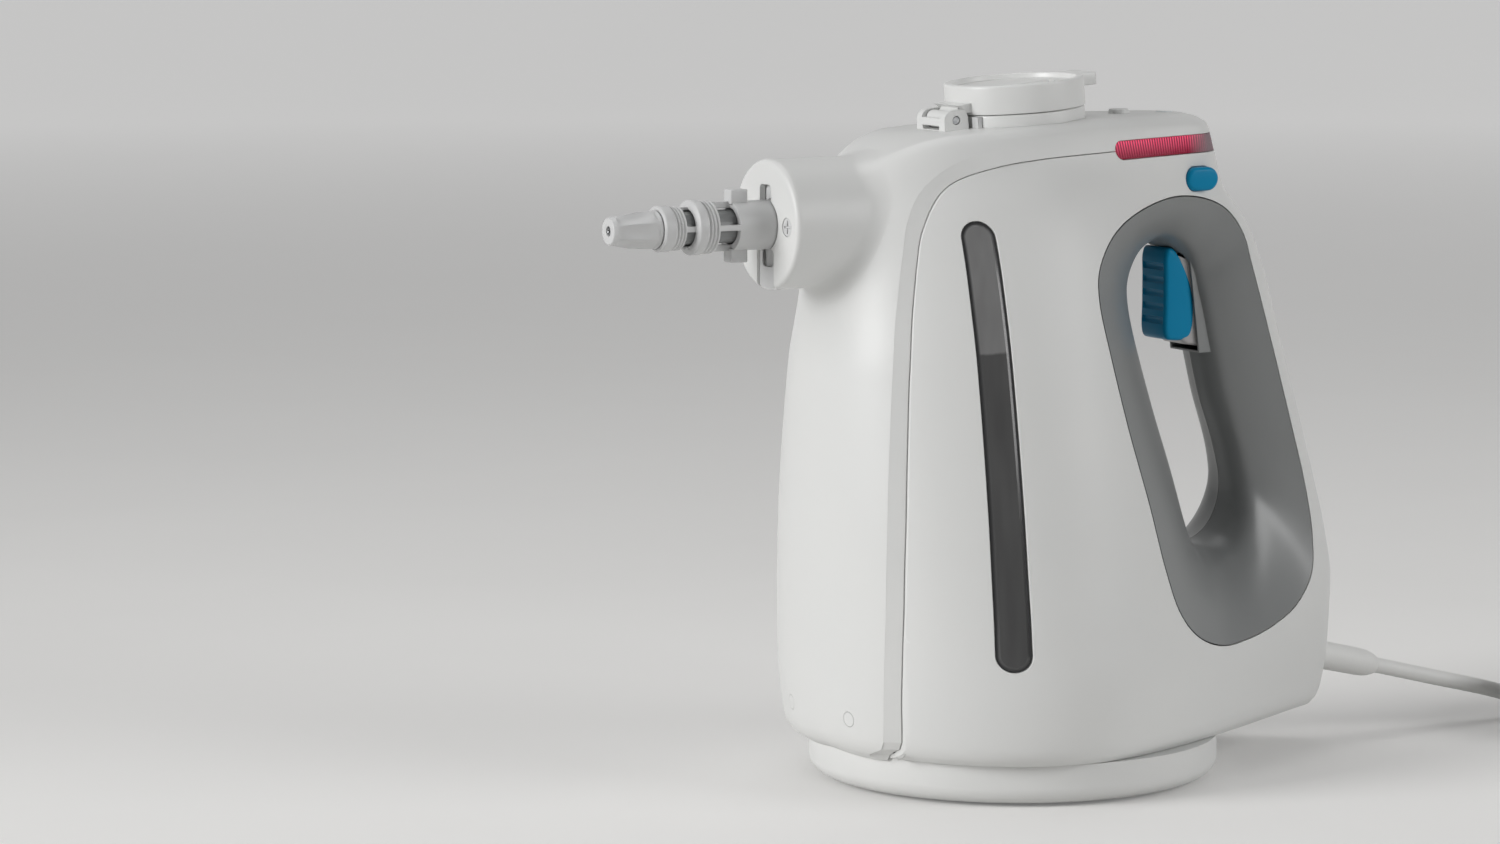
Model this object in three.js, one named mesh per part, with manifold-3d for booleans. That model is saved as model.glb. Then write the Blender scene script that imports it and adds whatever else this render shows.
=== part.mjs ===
// Hand-held steam cleaner in millimetres, +Z up, nozzle towards -X, handle towards +X, seen side towards -Y.
// Heights count from the floor, and the body axis is the vertical line through the base and the lid.
import * as THREE from 'three';
import { mergeVertices } from 'three/addons/utils/BufferGeometryUtils.js';
import Module from 'manifold-3d';

const wasm = await Module();
wasm.setup();

// driving dimensions
const bodyHeight = 271.5;
const seamHeight = 18;
const frontReach = 98;
const rearReach = 155.5;
const bodyHalfWidth = 91.5;
const stripHalfWidth = 24;
const nozzleDrop = 39.6; // nozzle's axis under the top of the body
const nozzleHeight = bodyHeight - nozzleDrop;
const baseRadius = 84.5;
const lidRadius = 28.7;
const lidTilt = THREE.MathUtils.degToRad(4.2);
const wall = 2.4;
const gap = 0.3;
const overrun = 2;

const degree = Math.PI / 180;
const quarterTurn = Math.PI / 2;

// materials
function plastic(color, roughness) {
  return new THREE.MeshStandardMaterial({ color, roughness, metalness: 0 });
}
function metal(color, roughness) {
  return new THREE.MeshStandardMaterial({ color, roughness, metalness: 1 });
}
const whiteShell = plastic('#eeeeec', 0.42);
const greyGloss = plastic('#6b6b6b', 0.18);
const nozzleGrey = plastic('#a9a9a9', 0.45);
const darkGrey = plastic('#4b4b4b', 0.5);
const blueTrigger = plastic('#0f7cb3', 0.3);
const redLens = plastic('#e0284f', 0.25);
const smokedWindow = plastic('#4d4d4d', 0.12);
const clearTank = plastic('#d9dfe0', 0.3);
const blackRubber = plastic('#2b2b2b', 0.8);
const siliconeHose = plastic('#e2e0da', 0.6);
const boardGreen = plastic('#1f6b3d', 0.6);
const castAluminium = metal('#b9bbbd', 0.45);
const steel = metal('#9a9c9e', 0.3);
const cordWhite = plastic('#dcdcda', 0.5);

// solids and geometries
function solidOf(geometry) {
  let plain = geometry.clone();
  for (const name of ['normal', 'uv']) plain.deleteAttribute(name);
  plain = mergeVertices(plain);
  const places = plain.attributes.position;
  const corners = Uint32Array.from(plain.index.array);
  if (signedVolume(places, corners) < 0) flip(corners);
  return new wasm.Manifold(
    new wasm.Mesh({ numProp: 3, vertProperties: Float32Array.from(places.array), triVerts: corners }),
  );
}
function signedVolume(places, corners) {
  const [a, b, c] = [new THREE.Vector3(), new THREE.Vector3(), new THREE.Vector3()];
  let volume = 0;
  for (let i = 0; i < corners.length; i += 3) {
    a.fromBufferAttribute(places, corners[i]);
    b.fromBufferAttribute(places, corners[i + 1]);
    c.fromBufferAttribute(places, corners[i + 2]);
    volume += a.dot(b.cross(c)) / 6;
  }
  return volume;
}
function flip(corners) {
  for (let i = 0; i < corners.length; i += 3) {
    [corners[i + 1], corners[i + 2]] = [corners[i + 2], corners[i + 1]];
  }
}
function geometryOf(solid) {
  const mesh = solid.getMesh();
  const geometry = new THREE.BufferGeometry();
  geometry.setAttribute('position', new THREE.BufferAttribute(mesh.vertProperties, mesh.numProp));
  geometry.setIndex(new THREE.BufferAttribute(mesh.triVerts, 1));
  geometry.computeVertexNormals();
  return geometry;
}
function joined(...parts) {
  return parts.map(asSolid).reduce((whole, part) => whole.add(part));
}
function cut(body, ...tools) {
  return tools.map(asSolid).reduce((left, tool) => left.subtract(tool), asSolid(body));
}
function common(...parts) {
  return parts.map(asSolid).reduce((whole, part) => whole.intersect(part));
}
function asSolid(shape) {
  return shape.isBufferGeometry ? solidOf(shape) : shape;
}

// basic shapes
function block([x0, x1], [y0, y1], [z0, z1]) {
  const geometry = new THREE.BoxGeometry(x1 - x0, y1 - y0, z1 - z0);
  return geometry.translate((x0 + x1) / 2, (y0 + y1) / 2, (z0 + z1) / 2);
}
function turned(profile, segments = 24) {
  const points = profile.map(([radius, height]) => new THREE.Vector2(radius, height));
  return new THREE.LatheGeometry(points, segments).rotateX(quarterTurn);
}
function disc(radius, from, to, segments = 20) {
  return turned([[0, from], [radius, from], [radius, to], [0, to]], segments);
}
function ring(inner, outer, from, to, segments = 20) {
  return turned([[inner, from], [outer, from], [outer, to], [inner, to], [inner, from]], segments);
}
function rodAlongX(radius, [from, to], y, z, segments = 20) {
  return disc(radius, from, to, segments).rotateY(quarterTurn).translate(0, y, z);
}
function rodAlongY(radius, [from, to], x, z, segments = 20) {
  return disc(radius, -to, -from, segments).rotateX(quarterTurn).translate(x, 0, z);
}
// an outline of [x, z] points in the side view, as a solid from one y to another
function sideSlab(outline, [from, to]) {
  const shape = new THREE.Shape(outline.map(([x, z]) => new THREE.Vector2(x, z)));
  const geometry = new THREE.ExtrudeGeometry(shape, { depth: to - from, bevelEnabled: false });
  return geometry.rotateX(quarterTurn).translate(0, to, 0);
}
function tube(points, radius, steps, sides = 8) {
  const section = new THREE.Shape();
  for (let i = 0; i < sides; i++) {
    const angle = (i / sides) * 2 * Math.PI;
    const place = [radius * Math.cos(angle), radius * Math.sin(angle)];
    if (i === 0) section.moveTo(...place);
    else section.lineTo(...place);
  }
  section.closePath();
  const path = new THREE.CatmullRomCurve3(points.map((p) => new THREE.Vector3(...p)), false, 'centripetal');
  return new THREE.ExtrudeGeometry(section, { steps, extrudePath: path, bevelEnabled: false, curveSegments: 1 });
}
// rings of equally many points, joined by walls and closed by flat ends or round into a loop
function loft(rings, closesOnItself = false) {
  const count = rings[0].length;
  const places = rings.flat().flatMap((p) => [p.x, p.y, p.z]);
  const corners = [];
  const last = closesOnItself ? rings.length : rings.length - 1;
  for (let i = 0; i < last; i++) {
    const next = (i + 1) % rings.length;
    for (let j = 0; j < count; j++) {
      const k = (j + 1) % count;
      const [a, b, c, d] = [i * count + j, i * count + k, next * count + k, next * count + j];
      corners.push(a, b, c, a, c, d);
    }
  }
  if (!closesOnItself) {
    for (const end of [0, rings.length - 1]) {
      const flat = rings[end].map((p) => new THREE.Vector2(p.x, p.y));
      const turns = THREE.ShapeUtils.area(flat) > 0 === (end === 0);
      for (const [a, b, c] of THREE.ShapeUtils.triangulateShape(flat, [])) {
        const first = end * count;
        corners.push(first + a, first + (turns ? c : b), first + (turns ? b : c));
      }
    }
  }
  const geometry = new THREE.BufferGeometry();
  geometry.setAttribute('position', new THREE.Float32BufferAttribute(places, 3));
  geometry.setIndex(corners);
  geometry.computeVertexNormals();
  return geometry;
}

const group = new THREE.Group();
function add(parent, name, shape, material) {
  const mesh = new THREE.Mesh(shape.isBufferGeometry ? shape : geometryOf(shape), material);
  mesh.name = name;
  parent.add(mesh);
  return mesh;
}

// The body skin: half plans at rising levels, from the front round to the rear.
// Each row holds shares of the body height above the seam, front reach, half width, rear reach and strip width.
const levelShares = [
  [0, 0.872, 0.921, 0.945, 0.625],
  [0.012, 0.918, 0.962, 0.961, 0.729],
  [0.032, 0.944, 0.984, 0.974, 0.792],
  [0.107, 0.969, 1, 0.993, 0.833],
  [0.213, 0.985, 0.969, 1, 0.833],
  [0.292, 0.993, 0.934, 0.979, 0.833],
  [0.402, 1, 0.885, 0.93, 0.833],
  [0.639, 0.985, 0.76, 0.814, 0.833],
  [0.75, 0.954, 0.683, 0.758, 0.833],
  [0.817, 0.949, 0.623, 0.707, 0.854],
  [0.88, 0.949, 0.546, 0.625, 0.917],
  [0.935, 0.944, 0.447, 0.595, 0.979],
  [0.982, 0.898, 0.385, 0.569, 0.938],
  [0.994, 0.857, 0.355, 0.54, 0.792],
  [1, 0.806, 0.322, 0.502, 0.625],
];
const skinShape = {
  widestX: -15, // where the plan is widest
  spineStart: 18, // ahead of this the top slopes down to the barrel
  spineSlope: 4.2 * degree,
  noseStart: -45, // ahead of this the top curls down
  noseDrop: 25, // how far it has curled at the front
};
const planShares = { frontRun: 0.25, rearRun: 0.3, rearFlare: 0.36, cornerLength: 0.7, cornerPull: 0.55 };
const outerSteps = { frontCount: 5, sideCount: 4, cornerCount: 3 };
const innerSteps = { frontCount: 4, sideCount: 3, cornerCount: 3 };

function levelAt(height) {
  const share = THREE.MathUtils.clamp((height - seamHeight) / (bodyHeight - seamHeight), 0, 1);
  const upper = Math.max(1, levelShares.findIndex((row) => row[0] >= share));
  const [low, high] = [levelShares[upper - 1], levelShares[upper]];
  const t = (share - low[0]) / (high[0] - low[0]);
  const [, front, width, rear, strip] = low.map((value, i) => THREE.MathUtils.lerp(value, high[i], t));
  return {
    front: front * frontReach,
    width: width * bodyHalfWidth,
    rear: rear * rearReach,
    strip: strip * stripHalfWidth,
  };
}
function planAt(height, inset = 0) {
  const steps = inset > wall / 2 ? innerSteps : outerSteps;
  const { front, width, rear, strip } = levelAt(height);
  const { widestX } = skinShape;
  const points = [];
  for (let i = 0; i < steps.frontCount; i++) {
    const angle = (quarterTurn * i) / steps.frontCount;
    points.push(new THREE.Vector2(widestX - (front + widestX) * Math.cos(angle), width * Math.sin(angle)));
  }
  const corner = planShares.cornerLength * strip;
  const start = new THREE.Vector2(widestX, width);
  const end = new THREE.Vector2(rear - corner, strip);
  const run = end.x - start.x;
  const early = new THREE.Vector2(start.x + planShares.frontRun * run, width);
  const late = new THREE.Vector2(end.x - planShares.rearRun * run, strip + planShares.rearFlare * (width - strip));
  const side = new THREE.CubicBezierCurve(start, early, late, end);
  points.push(...side.getPoints(steps.sideCount).slice(0, -1));
  const ahead = end.clone().sub(late).normalize().multiplyScalar(corner / 2).add(end);
  const pull = new THREE.Vector2(rear, planShares.cornerPull * strip);
  const bend = new THREE.CubicBezierCurve(end, ahead, pull, new THREE.Vector2(rear, 0));
  points.push(...bend.getPoints(steps.cornerCount));
  if (inset === 0) return points;
  return points.map((point, i) => {
    const before = i > 0 ? points[i - 1] : new THREE.Vector2(points[1].x, -points[1].y);
    const beyond = points[points.length - 2];
    const after = i < points.length - 1 ? points[i + 1] : new THREE.Vector2(beyond.x, -beyond.y);
    const along = after.clone().sub(before).normalize();
    return new THREE.Vector2(point.x + along.y * inset, point.y - along.x * inset);
  });
}
function spineDrop(x) {
  const { spineStart, spineSlope, noseStart, noseDrop } = skinShape;
  const slope = Math.max(0, spineStart - x) * Math.tan(spineSlope);
  const curl = Math.max(0, noseStart - x) / (noseStart + frontReach);
  return slope + noseDrop * curl ** 2;
}
function skin(inset, from = seamHeight) {
  const heights = levelShares.map(([share]) => seamHeight + share * (bodyHeight - seamHeight));
  const used = [from, ...heights.filter((height, i) => height > from + gap && (inset < wall / 2 || i % 2 === 0))];
  return loft(
    used.map((height) => {
      const half = planAt(height, inset);
      const mirrored = half.slice(1, -1).reverse().map((p) => new THREE.Vector2(p.x, -p.y));
      const share = height / bodyHeight;
      return [...half, ...mirrored].map(
        (p) => new THREE.Vector3(p.x, p.y, height - inset * share ** 6 - spineDrop(p.x) * share ** 3),
      );
    }),
  );
}
// half width of the skin at a place in the side view
function skinHalfWidth(x, z) {
  const height = Math.min(bodyHeight, z + spineDrop(x) * (z / bodyHeight) ** 3);
  const points = planAt(height);
  const next = points.findIndex((p) => p.x >= x);
  if (next < 1) return 0;
  const [a, b] = [points[next - 1], points[next]];
  return THREE.MathUtils.lerp(a.y, b.y, (x - a.x) / (b.x - a.x));
}

// The nozzle frame: its +Z is ahead of the body axis, its +X is up.
const nozzleGroup = new THREE.Group();
nozzleGroup.rotation.y = -quarterTurn;
nozzleGroup.position.z = nozzleHeight;
nozzleGroup.updateMatrix();
group.add(nozzleGroup);
function inNozzle(geometry) {
  return geometry.clone().applyMatrix4(nozzleGroup.matrix);
}

const nozzle = {
  tubeRadius: 9.9,
  tubeWall: 2.5,
  insertion: 18.5, // how deep the cage sits behind the barrel's face
  lugHeight: 4.7,
  lugHalfWidth: 3.2,
  lugLength: 7.7,
  lockHeight: 4,
  lockLength: 4.4,
  lockDepth: 5.1, // from the barrel's face to the lugs that hold behind it
  clearance: 0.5,
};

// barrel
const barrelLength = 19.5; // ahead of the body's front
const barrelRoot = 40; // behind it
const barrel = {
  radius: 26.2,
  faceReach: frontReach + barrelLength,
  edge: 2.5,
  faceWall: 2.5,
  rootReach: frontReach - barrelRoot,
  slotHalfWidth: 4.5,
  slotUp: 16,
  slotDown: 17,
  grooveHalfWidth: 8.5,
  grooveTop: 9,
  grooveDepth: 1.4,
  dimpleRadius: 3.8,
  dimpleY: -17.5,
  dimpleDepth: 1.2,
};
function barrelOutside() {
  const { radius, faceReach, edge, rootReach } = barrel;
  const profile = [[0, rootReach], [radius, rootReach]];
  const edgeCount = 3;
  for (let i = 0; i <= edgeCount; i++) {
    const angle = (quarterTurn * i) / edgeCount;
    profile.push([radius - edge + edge * Math.cos(angle), faceReach - edge + edge * Math.sin(angle)]);
  }
  profile.push([0, faceReach]);
  return inNozzle(turned(profile, 24));
}
function barrelInside() {
  return inNozzle(disc(barrel.radius - wall, barrel.rootReach - overrun, barrel.faceReach - barrel.faceWall, 20));
}
function keyhole() {
  const { faceReach, faceWall, slotHalfWidth, slotUp, slotDown } = barrel;
  const through = [faceReach - faceWall - overrun, faceReach + overrun];
  const hole = disc(nozzle.tubeRadius + nozzle.clearance, ...through);
  const slot = block([-slotDown, slotUp], [-slotHalfWidth, slotHalfWidth], through);
  const { grooveHalfWidth, grooveTop, grooveDepth, radius, dimpleRadius, dimpleY, dimpleDepth } = barrel;
  const groove = block(
    [-radius - overrun, -grooveTop],
    [-grooveHalfWidth, grooveHalfWidth],
    [faceReach - grooveDepth, faceReach + overrun],
  );
  const dimple = disc(dimpleRadius, faceReach - dimpleDepth, faceReach + overrun, 12).translate(0, dimpleY, 0);
  return [hole, slot, groove, dimple].map(inNozzle);
}

// status lens: a band round the rear end of the top
const lensDrop = 12.9; // lens under the top of the body, where it starts
const lens = {
  startX: 26.8,
  startHeight: bodyHeight - lensDrop,
  halfHeight: 3.6,
  slope: 1.2 * degree,
  inset: 0.2,
};

// lock button: a bar that goes through the top of the handle from side to side
const lockDrop = 13.5; // its middle under the start of the lens
const lock = {
  x: 73.5,
  height: lens.startHeight - lockDrop,
  halfLength: 7.8,
  halfHeight: 4.9,
  proud: 3.9,
  travel: 4.2,
  sink: 0.7,
};

// handle insert: an outline on the side of the body and a throat in its middle plane, each as shares of a box
const insert = { frontX: 1.2, rearRoom: 20.5, bottom: 56.6, lockRoom: 1.8, wideFrom: 55, wall: 2 };
const insertSpan = rearReach - insert.rearRoom - insert.frontX;
const insertRise = lock.height - lock.halfHeight - insert.lockRoom - insert.bottom;
// the throat's box in the insert's: where it starts and how far it runs, across and then up
const acrossShares = [0.3423, 0.4111];
const upShares = [0.1903, 0.7112];
const throat = {
  x: insert.frontX + acrossShares[0] * insertSpan,
  span: acrossShares[1] * insertSpan,
  bottom: insert.bottom + upShares[0] * insertRise,
  rise: upShares[1] * insertRise,
};
const outlineShares = [
  [0.453, 1], [0.225, 0.972], [0.095, 0.925], [0.016, 0.855], [0, 0.79], [0.022, 0.664],
  [0.065, 0.509], [0.126, 0.344], [0.179, 0.193], [0.229, 0.1], [0.311, 0.039], [0.439, 0.003],
  [0.581, 0], [0.762, 0.016], [0.9, 0.049], [0.985, 0.108], [1, 0.19], [0.974, 0.319],
  [0.927, 0.442], [0.841, 0.654], [0.764, 0.832], [0.732, 0.905], [0.648, 0.968],
];
const throatLineShares = [
  [0.27, 1], [0.07, 0.958], [0, 0.857], [0.05, 0.71], [0.19, 0.486], [0.345, 0.286], [0.5, 0.077], [0.6, 0.015],
  [0.727, 0], [0.873, 0.035], [0.975, 0.108], [1, 0.19], [0.936, 0.317], [0.8, 0.486], [0.71, 0.641], [0.61, 0.826],
  [0.5, 0.95],
];
// How the lining runs from outline to throat: share of the way in the side view, then the share of the half width
// left there, first where the body is wide and then at the narrow grip.
const flareShares = [[0, 1, 1], [0.35, 0.78, 0.9], [0.62, 0.58, 0.78], [0.82, 0.4, 0.63], [0.95, 0.2, 0.34], [1, 0, 0]];
// how the back of the lining stands off it: shares of the wall outwards and inwards
const backShares = [[0, 1], [0.4, 0.92], [0.7, 0.72], [0.85, 0.53], [1, 0.2], [1, 0]];
const insertPointCount = 25;

function loopOf(shares, x0, span, z0, rise) {
  const points = shares.map(([a, b]) => new THREE.Vector3(x0 + a * span, 0, z0 + b * rise));
  const curve = new THREE.CatmullRomCurve3(points, true, 'centripetal');
  return curve.getSpacedPoints(insertPointCount).slice(0, -1).map((p) => [p.x, p.z]);
}
const insertOutline = loopOf(outlineShares, insert.frontX, insertSpan, insert.bottom, insertRise);
const throatOutline = loopOf(throatLineShares, throat.x, throat.span, throat.bottom, throat.rise);
// unit normals of a closed outline, pointing out of it
function outwardOf(outline) {
  const turn = Math.sign(THREE.ShapeUtils.area(outline.map(([x, y]) => ({ x, y }))));
  return outline.map((_, i) => {
    const before = outline[(i + outline.length - 1) % outline.length];
    const after = outline[(i + 1) % outline.length];
    const along = new THREE.Vector2(after[0] - before[0], after[1] - before[1]).normalize();
    return [turn * along.y, -turn * along.x];
  });
}
function grown(outline, distance) {
  const outward = outwardOf(outline);
  return outline.map(([x, z], i) => [x + outward[i][0] * distance, z + outward[i][1] * distance]);
}

// trigger: its pivot in the throat, its length, and the slot that it moves in, as shares of that length
const triggerLength = 38.6; // from the top of the cap to its lower end
const pivotRoom = { rearGap: 7, topGap: 9.5 };
const trigger = {
  x: throat.x + throat.span - pivotRoom.rearGap,
  height: throat.bottom + throat.rise - pivotRoom.topGap,
  halfWidth: 9.5,
  eyeHalfWidth: 4.6,
  pinRadius: 1.5,
  pinHalf: 10.6,
};
const slotShares = [[-0.751, 0.233], [-1.0155, 0.15]]; // from its pivot, along and up
const slotClearance = 0.5;
function handleInsert(side) {
  const outward = outwardOf(insertOutline);
  const depth = insertOutline.map(([x, z]) => skinHalfWidth(x, z));
  const grip = Math.min(...depth);
  const ringAt = (step, back) =>
    insertOutline.map(([x, z], i) => {
      const [way, wide, narrow] = flareShares[step];
      const left = THREE.MathUtils.lerp(narrow, wide, THREE.MathUtils.smoothstep(depth[i], grip, insert.wideFrom));
      const [tx, tz] = throatOutline[i];
      const [out, inwards] = backShares[step].map((share) => (back ? share * insert.wall : 0));
      const y = Math.max(gap / 2, depth[i] * left - inwards);
      return new THREE.Vector3(
        THREE.MathUtils.lerp(x, tx, way) + outward[i][0] * out,
        side * y,
        THREE.MathUtils.lerp(z, tz, way) + outward[i][1] * out,
      );
    });
  const steps = flareShares.map((_, step) => step);
  const rings = [...steps.map((step) => ringAt(step, false)), ...steps.reverse().map((step) => ringAt(step, true))];
  const halfSlot = trigger.halfWidth + slotClearance;
  const [along, up] = slotShares.map((pair) => pair.map((share) => share * triggerLength));
  const slot = block(along, [-halfSlot, halfSlot], up).translate(trigger.x, 0, trigger.height);
  return cut(loft(rings, true), slot);
}

function lensOutline(margin) {
  const radius = lens.halfHeight + margin;
  const centre = [lens.startX + lens.halfHeight, lens.startHeight];
  const outline = [];
  const capCount = 6;
  for (let i = 0; i <= capCount; i++) {
    const angle = quarterTurn + lens.slope + (Math.PI * i) / capCount;
    outline.push([centre[0] + radius * Math.cos(angle), centre[1] + radius * Math.sin(angle)]);
  }
  const length = rearReach - centre[0];
  const lift = length * Math.tan(lens.slope);
  const last = outline.at(-1);
  const first = outline[0];
  return [...outline, [last[0] + length, last[1] + lift], [first[0] + length, first[1] + lift]];
}

// parting line between front shell and side shells, as shares of front reach and body height
const seamShares = [
  [-0.819, 0.05], [-0.819, 0.11], [-0.837, 0.276], [-0.829, 0.405], [-0.812, 0.552], [-0.779, 0.748],
  [-0.744, 0.791], [-0.663, 0.856], [-0.522, 0.906], [-0.311, 0.93], [-0.089, 0.939], [0.245, 0.949],
];
function rearOf(margin) {
  const points = seamShares.map(([a, b]) => new THREE.Vector2(a * frontReach, b * bodyHeight));
  const curve = new THREE.SplineCurve(points).getPoints(16).map((p) => [p.x, p.y]);
  const outline = [
    ...curve,
    [lens.startX + lens.halfHeight, lens.startHeight],
    [rearReach + overrun, lens.startHeight + (rearReach - lens.startX) * Math.tan(lens.slope)],
    [rearReach + overrun, seamShares[0][1] * bodyHeight],
  ];
  return grown(outline, margin);
}

// water window on the left side
const windowDrop = 38; // window under the top of the body
const windowShape = { bottomX: -49.6, topX: -47.9, bottom: 57.2, top: bodyHeight - windowDrop, radius: 6.5, sink: 0.5 };
function windowOutline(margin) {
  const { bottomX, topX, bottom, top, radius } = windowShape;
  const outline = [];
  const capCount = 6;
  for (let i = 0; i <= capCount; i++) {
    const angle = (Math.PI * i) / capCount;
    outline.push([topX + (radius + margin) * Math.cos(angle), top - radius + (radius + margin) * Math.sin(angle)]);
  }
  for (let i = 0; i <= capCount; i++) {
    const angle = Math.PI + (Math.PI * i) / capCount;
    const z = bottom + radius + (radius + margin) * Math.sin(angle);
    outline.push([bottomX + (radius + margin) * Math.cos(angle), z]);
  }
  return outline;
}

function lockOutline(margin) {
  const flat = lock.halfLength - lock.halfHeight;
  const radius = lock.halfHeight + margin;
  const outline = [];
  const capCount = 6;
  for (const end of [1, -1]) {
    for (let i = 0; i <= capCount; i++) {
      const angle = end * -quarterTurn + (Math.PI * i) / capCount;
      outline.push([lock.x + end * flat + radius * Math.cos(angle), lock.height + radius * Math.sin(angle)]);
    }
  }
  return outline;
}

const neckWall = 6.7; // from the lid's outside in to the neck's bore
const neckStep = 4.5; // and in to its lower part

// The lid frame stands on the top of the body and leans with it.
const lidSink = 2.2; // the frame's origin under the top of the body
const lidGroup = new THREE.Group();
lidGroup.rotation.y = -lidTilt;
lidGroup.position.z = bodyHeight - lidSink;
lidGroup.updateMatrix();
group.add(lidGroup);
function inLid(geometry) {
  return geometry.clone().applyMatrix4(lidGroup.matrix);
}
const neck = {
  radius: lidRadius - gap,
  bore: lidRadius - neckWall,
  top: 5.7,
  shoulder: -5,
  lowerRadius: lidRadius - neckStep,
  bottom: -31,
};

// cord gland frame: its +Z points out of the body and down along the cord
const glandOut = 28; // how far it stands out behind the body
const gland = {
  x: rearReach + glandOut,
  height: 29.4,
  fall: 13.5 * degree,
  depth: 40,
  neckRadius: 5.9,
  flange: 7.6,
  flangeThickness: 2.5,
};
const glandGroup = new THREE.Group();
glandGroup.rotation.y = quarterTurn + gland.fall;
glandGroup.position.set(gland.x, 0, gland.height);
glandGroup.updateMatrix();
group.add(glandGroup);

// shells
const lipRise = 4; // how far the lip of the cup reaches into the body
const baseRound = 8; // how far the floor of the cup is drawn in
const lipInset = 6.9; // how far its lip stands in from its side
const base = {
  bottom: 1.2,
  floor: 2.6,
  contactRadius: baseRadius - baseRound,
  roundHeight: 7,
  wall: 2.5,
  lipRadius: baseRadius - lipInset,
  lipTop: seamHeight + lipRise,
};
// what stands on the deck, and the board under it, as shares of the rear reach
const deckShares = { button: 0.3222, lamp: 0.4662, board: 0.3923, halfBoard: 0.1222 };
const buttonDepth = 9.2;
const deckButton = {
  x: deckShares.button * rearReach,
  radius: 4.3,
  proud: 1.2,
  travel: 1,
  bottom: bodyHeight - buttonDepth,
};
const lamp = { x: deckShares.lamp * rearReach, radius: 3.5, proud: 0.4, depth: 6 };
const boardDepth = 12.3;
const board = {
  x: deckShares.board * rearReach,
  halfLength: deckShares.halfBoard * rearReach,
  halfWidth: 9,
  bottom: bodyHeight - boardDepth,
  thickness: 1.6,
  postRadius: 2,
  postY: 5.5,
};
const plug = { angle: 14.7 * degree, height: 33, radius: 3, depth: 1.6, proud: 0.3 };

function shellSolid() {
  const rearFloor = seamHeight + wall;
  const opening = disc(base.lipRadius + gap, seamHeight - overrun, rearFloor + overrun, 28);
  const hollow = joined(skin(wall, rearFloor), opening);
  return cut(joined(skin(0), barrelOutside()), hollow, barrelInside());
}
const shell = shellSolid();
const insertHole = sideSlab(grown(insertOutline, gap), [-bodyHalfWidth - overrun, bodyHalfWidth + overrun]);
const wholeWidth = [-bodyHalfWidth - overrun, bodyHalfWidth + overrun];
const lensCut = sideSlab(lensOutline(gap), wholeWidth);
const neckHole = inLid(disc(neck.radius + gap, neck.bottom, lidRadius, 24));

// a screw plug's axis points straight out of the front's plan, which is a quarter ellipse on each side
function plugPlace(geometry, side) {
  const { front, width } = levelAt(plug.height);
  const depth = front + skinShape.widestX;
  const x = skinShape.widestX - depth * Math.cos(plug.angle);
  const y = side * width * Math.sin(plug.angle);
  const turn = Math.atan2(side * depth * Math.sin(plug.angle), width * Math.cos(plug.angle));
  return geometry.clone().rotateY(-quarterTurn).rotateZ(-turn).translate(x, y, plug.height);
}
function frontShell() {
  const rear = sideSlab(rearOf(gap / 2), wholeWidth);
  const tools = [rear, lensCut, neckHole, ...keyhole()];
  tools.push(disc(deckButton.radius + gap, deckButton.bottom, bodyHeight + overrun, 16).translate(deckButton.x, 0, 0));
  tools.push(disc(lamp.radius + gap, deckButton.bottom, bodyHeight + overrun, 16).translate(lamp.x, 0, 0));
  for (const side of [-1, 1]) tools.push(plugPlace(disc(plug.radius + gap, -plug.depth, overrun * 2, 12), side));
  const body = cut(shell, ...tools);
  const posts = [-1, 1].map((side) =>
    disc(board.postRadius, board.bottom + board.thickness + gap, bodyHeight - wall / 2, 10).translate(
      board.x,
      side * board.postY,
      0,
    ),
  );
  return joined(body, ...posts);
}
function sideShell(side) {
  const rear = sideSlab(rearOf(-gap / 2), wholeWidth);
  const half = block(
    [-frontReach, rearReach + overrun],
    side < 0 ? [-bodyHalfWidth - overrun, -gap / 2] : [gap / 2, bodyHalfWidth + overrun],
    [0, bodyHeight],
  );
  const tools = [insertHole, lensCut, sideSlab(lockOutline(gap), wholeWidth)];
  tools.push(disc(gland.neckRadius + gap, -gland.depth - overrun, 0, 20).applyMatrix4(glandGroup.matrix));
  if (side < 0) tools.push(sideSlab(windowOutline(gap), [-bodyHalfWidth - overrun, 0]));
  return cut(common(shell, rear, half), ...tools);
}
add(group, 'front_shell', frontShell(), whiteShell);
add(group, 'side_shell_left', sideShell(-1), whiteShell);
add(group, 'side_shell_right', sideShell(1), whiteShell);

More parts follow.
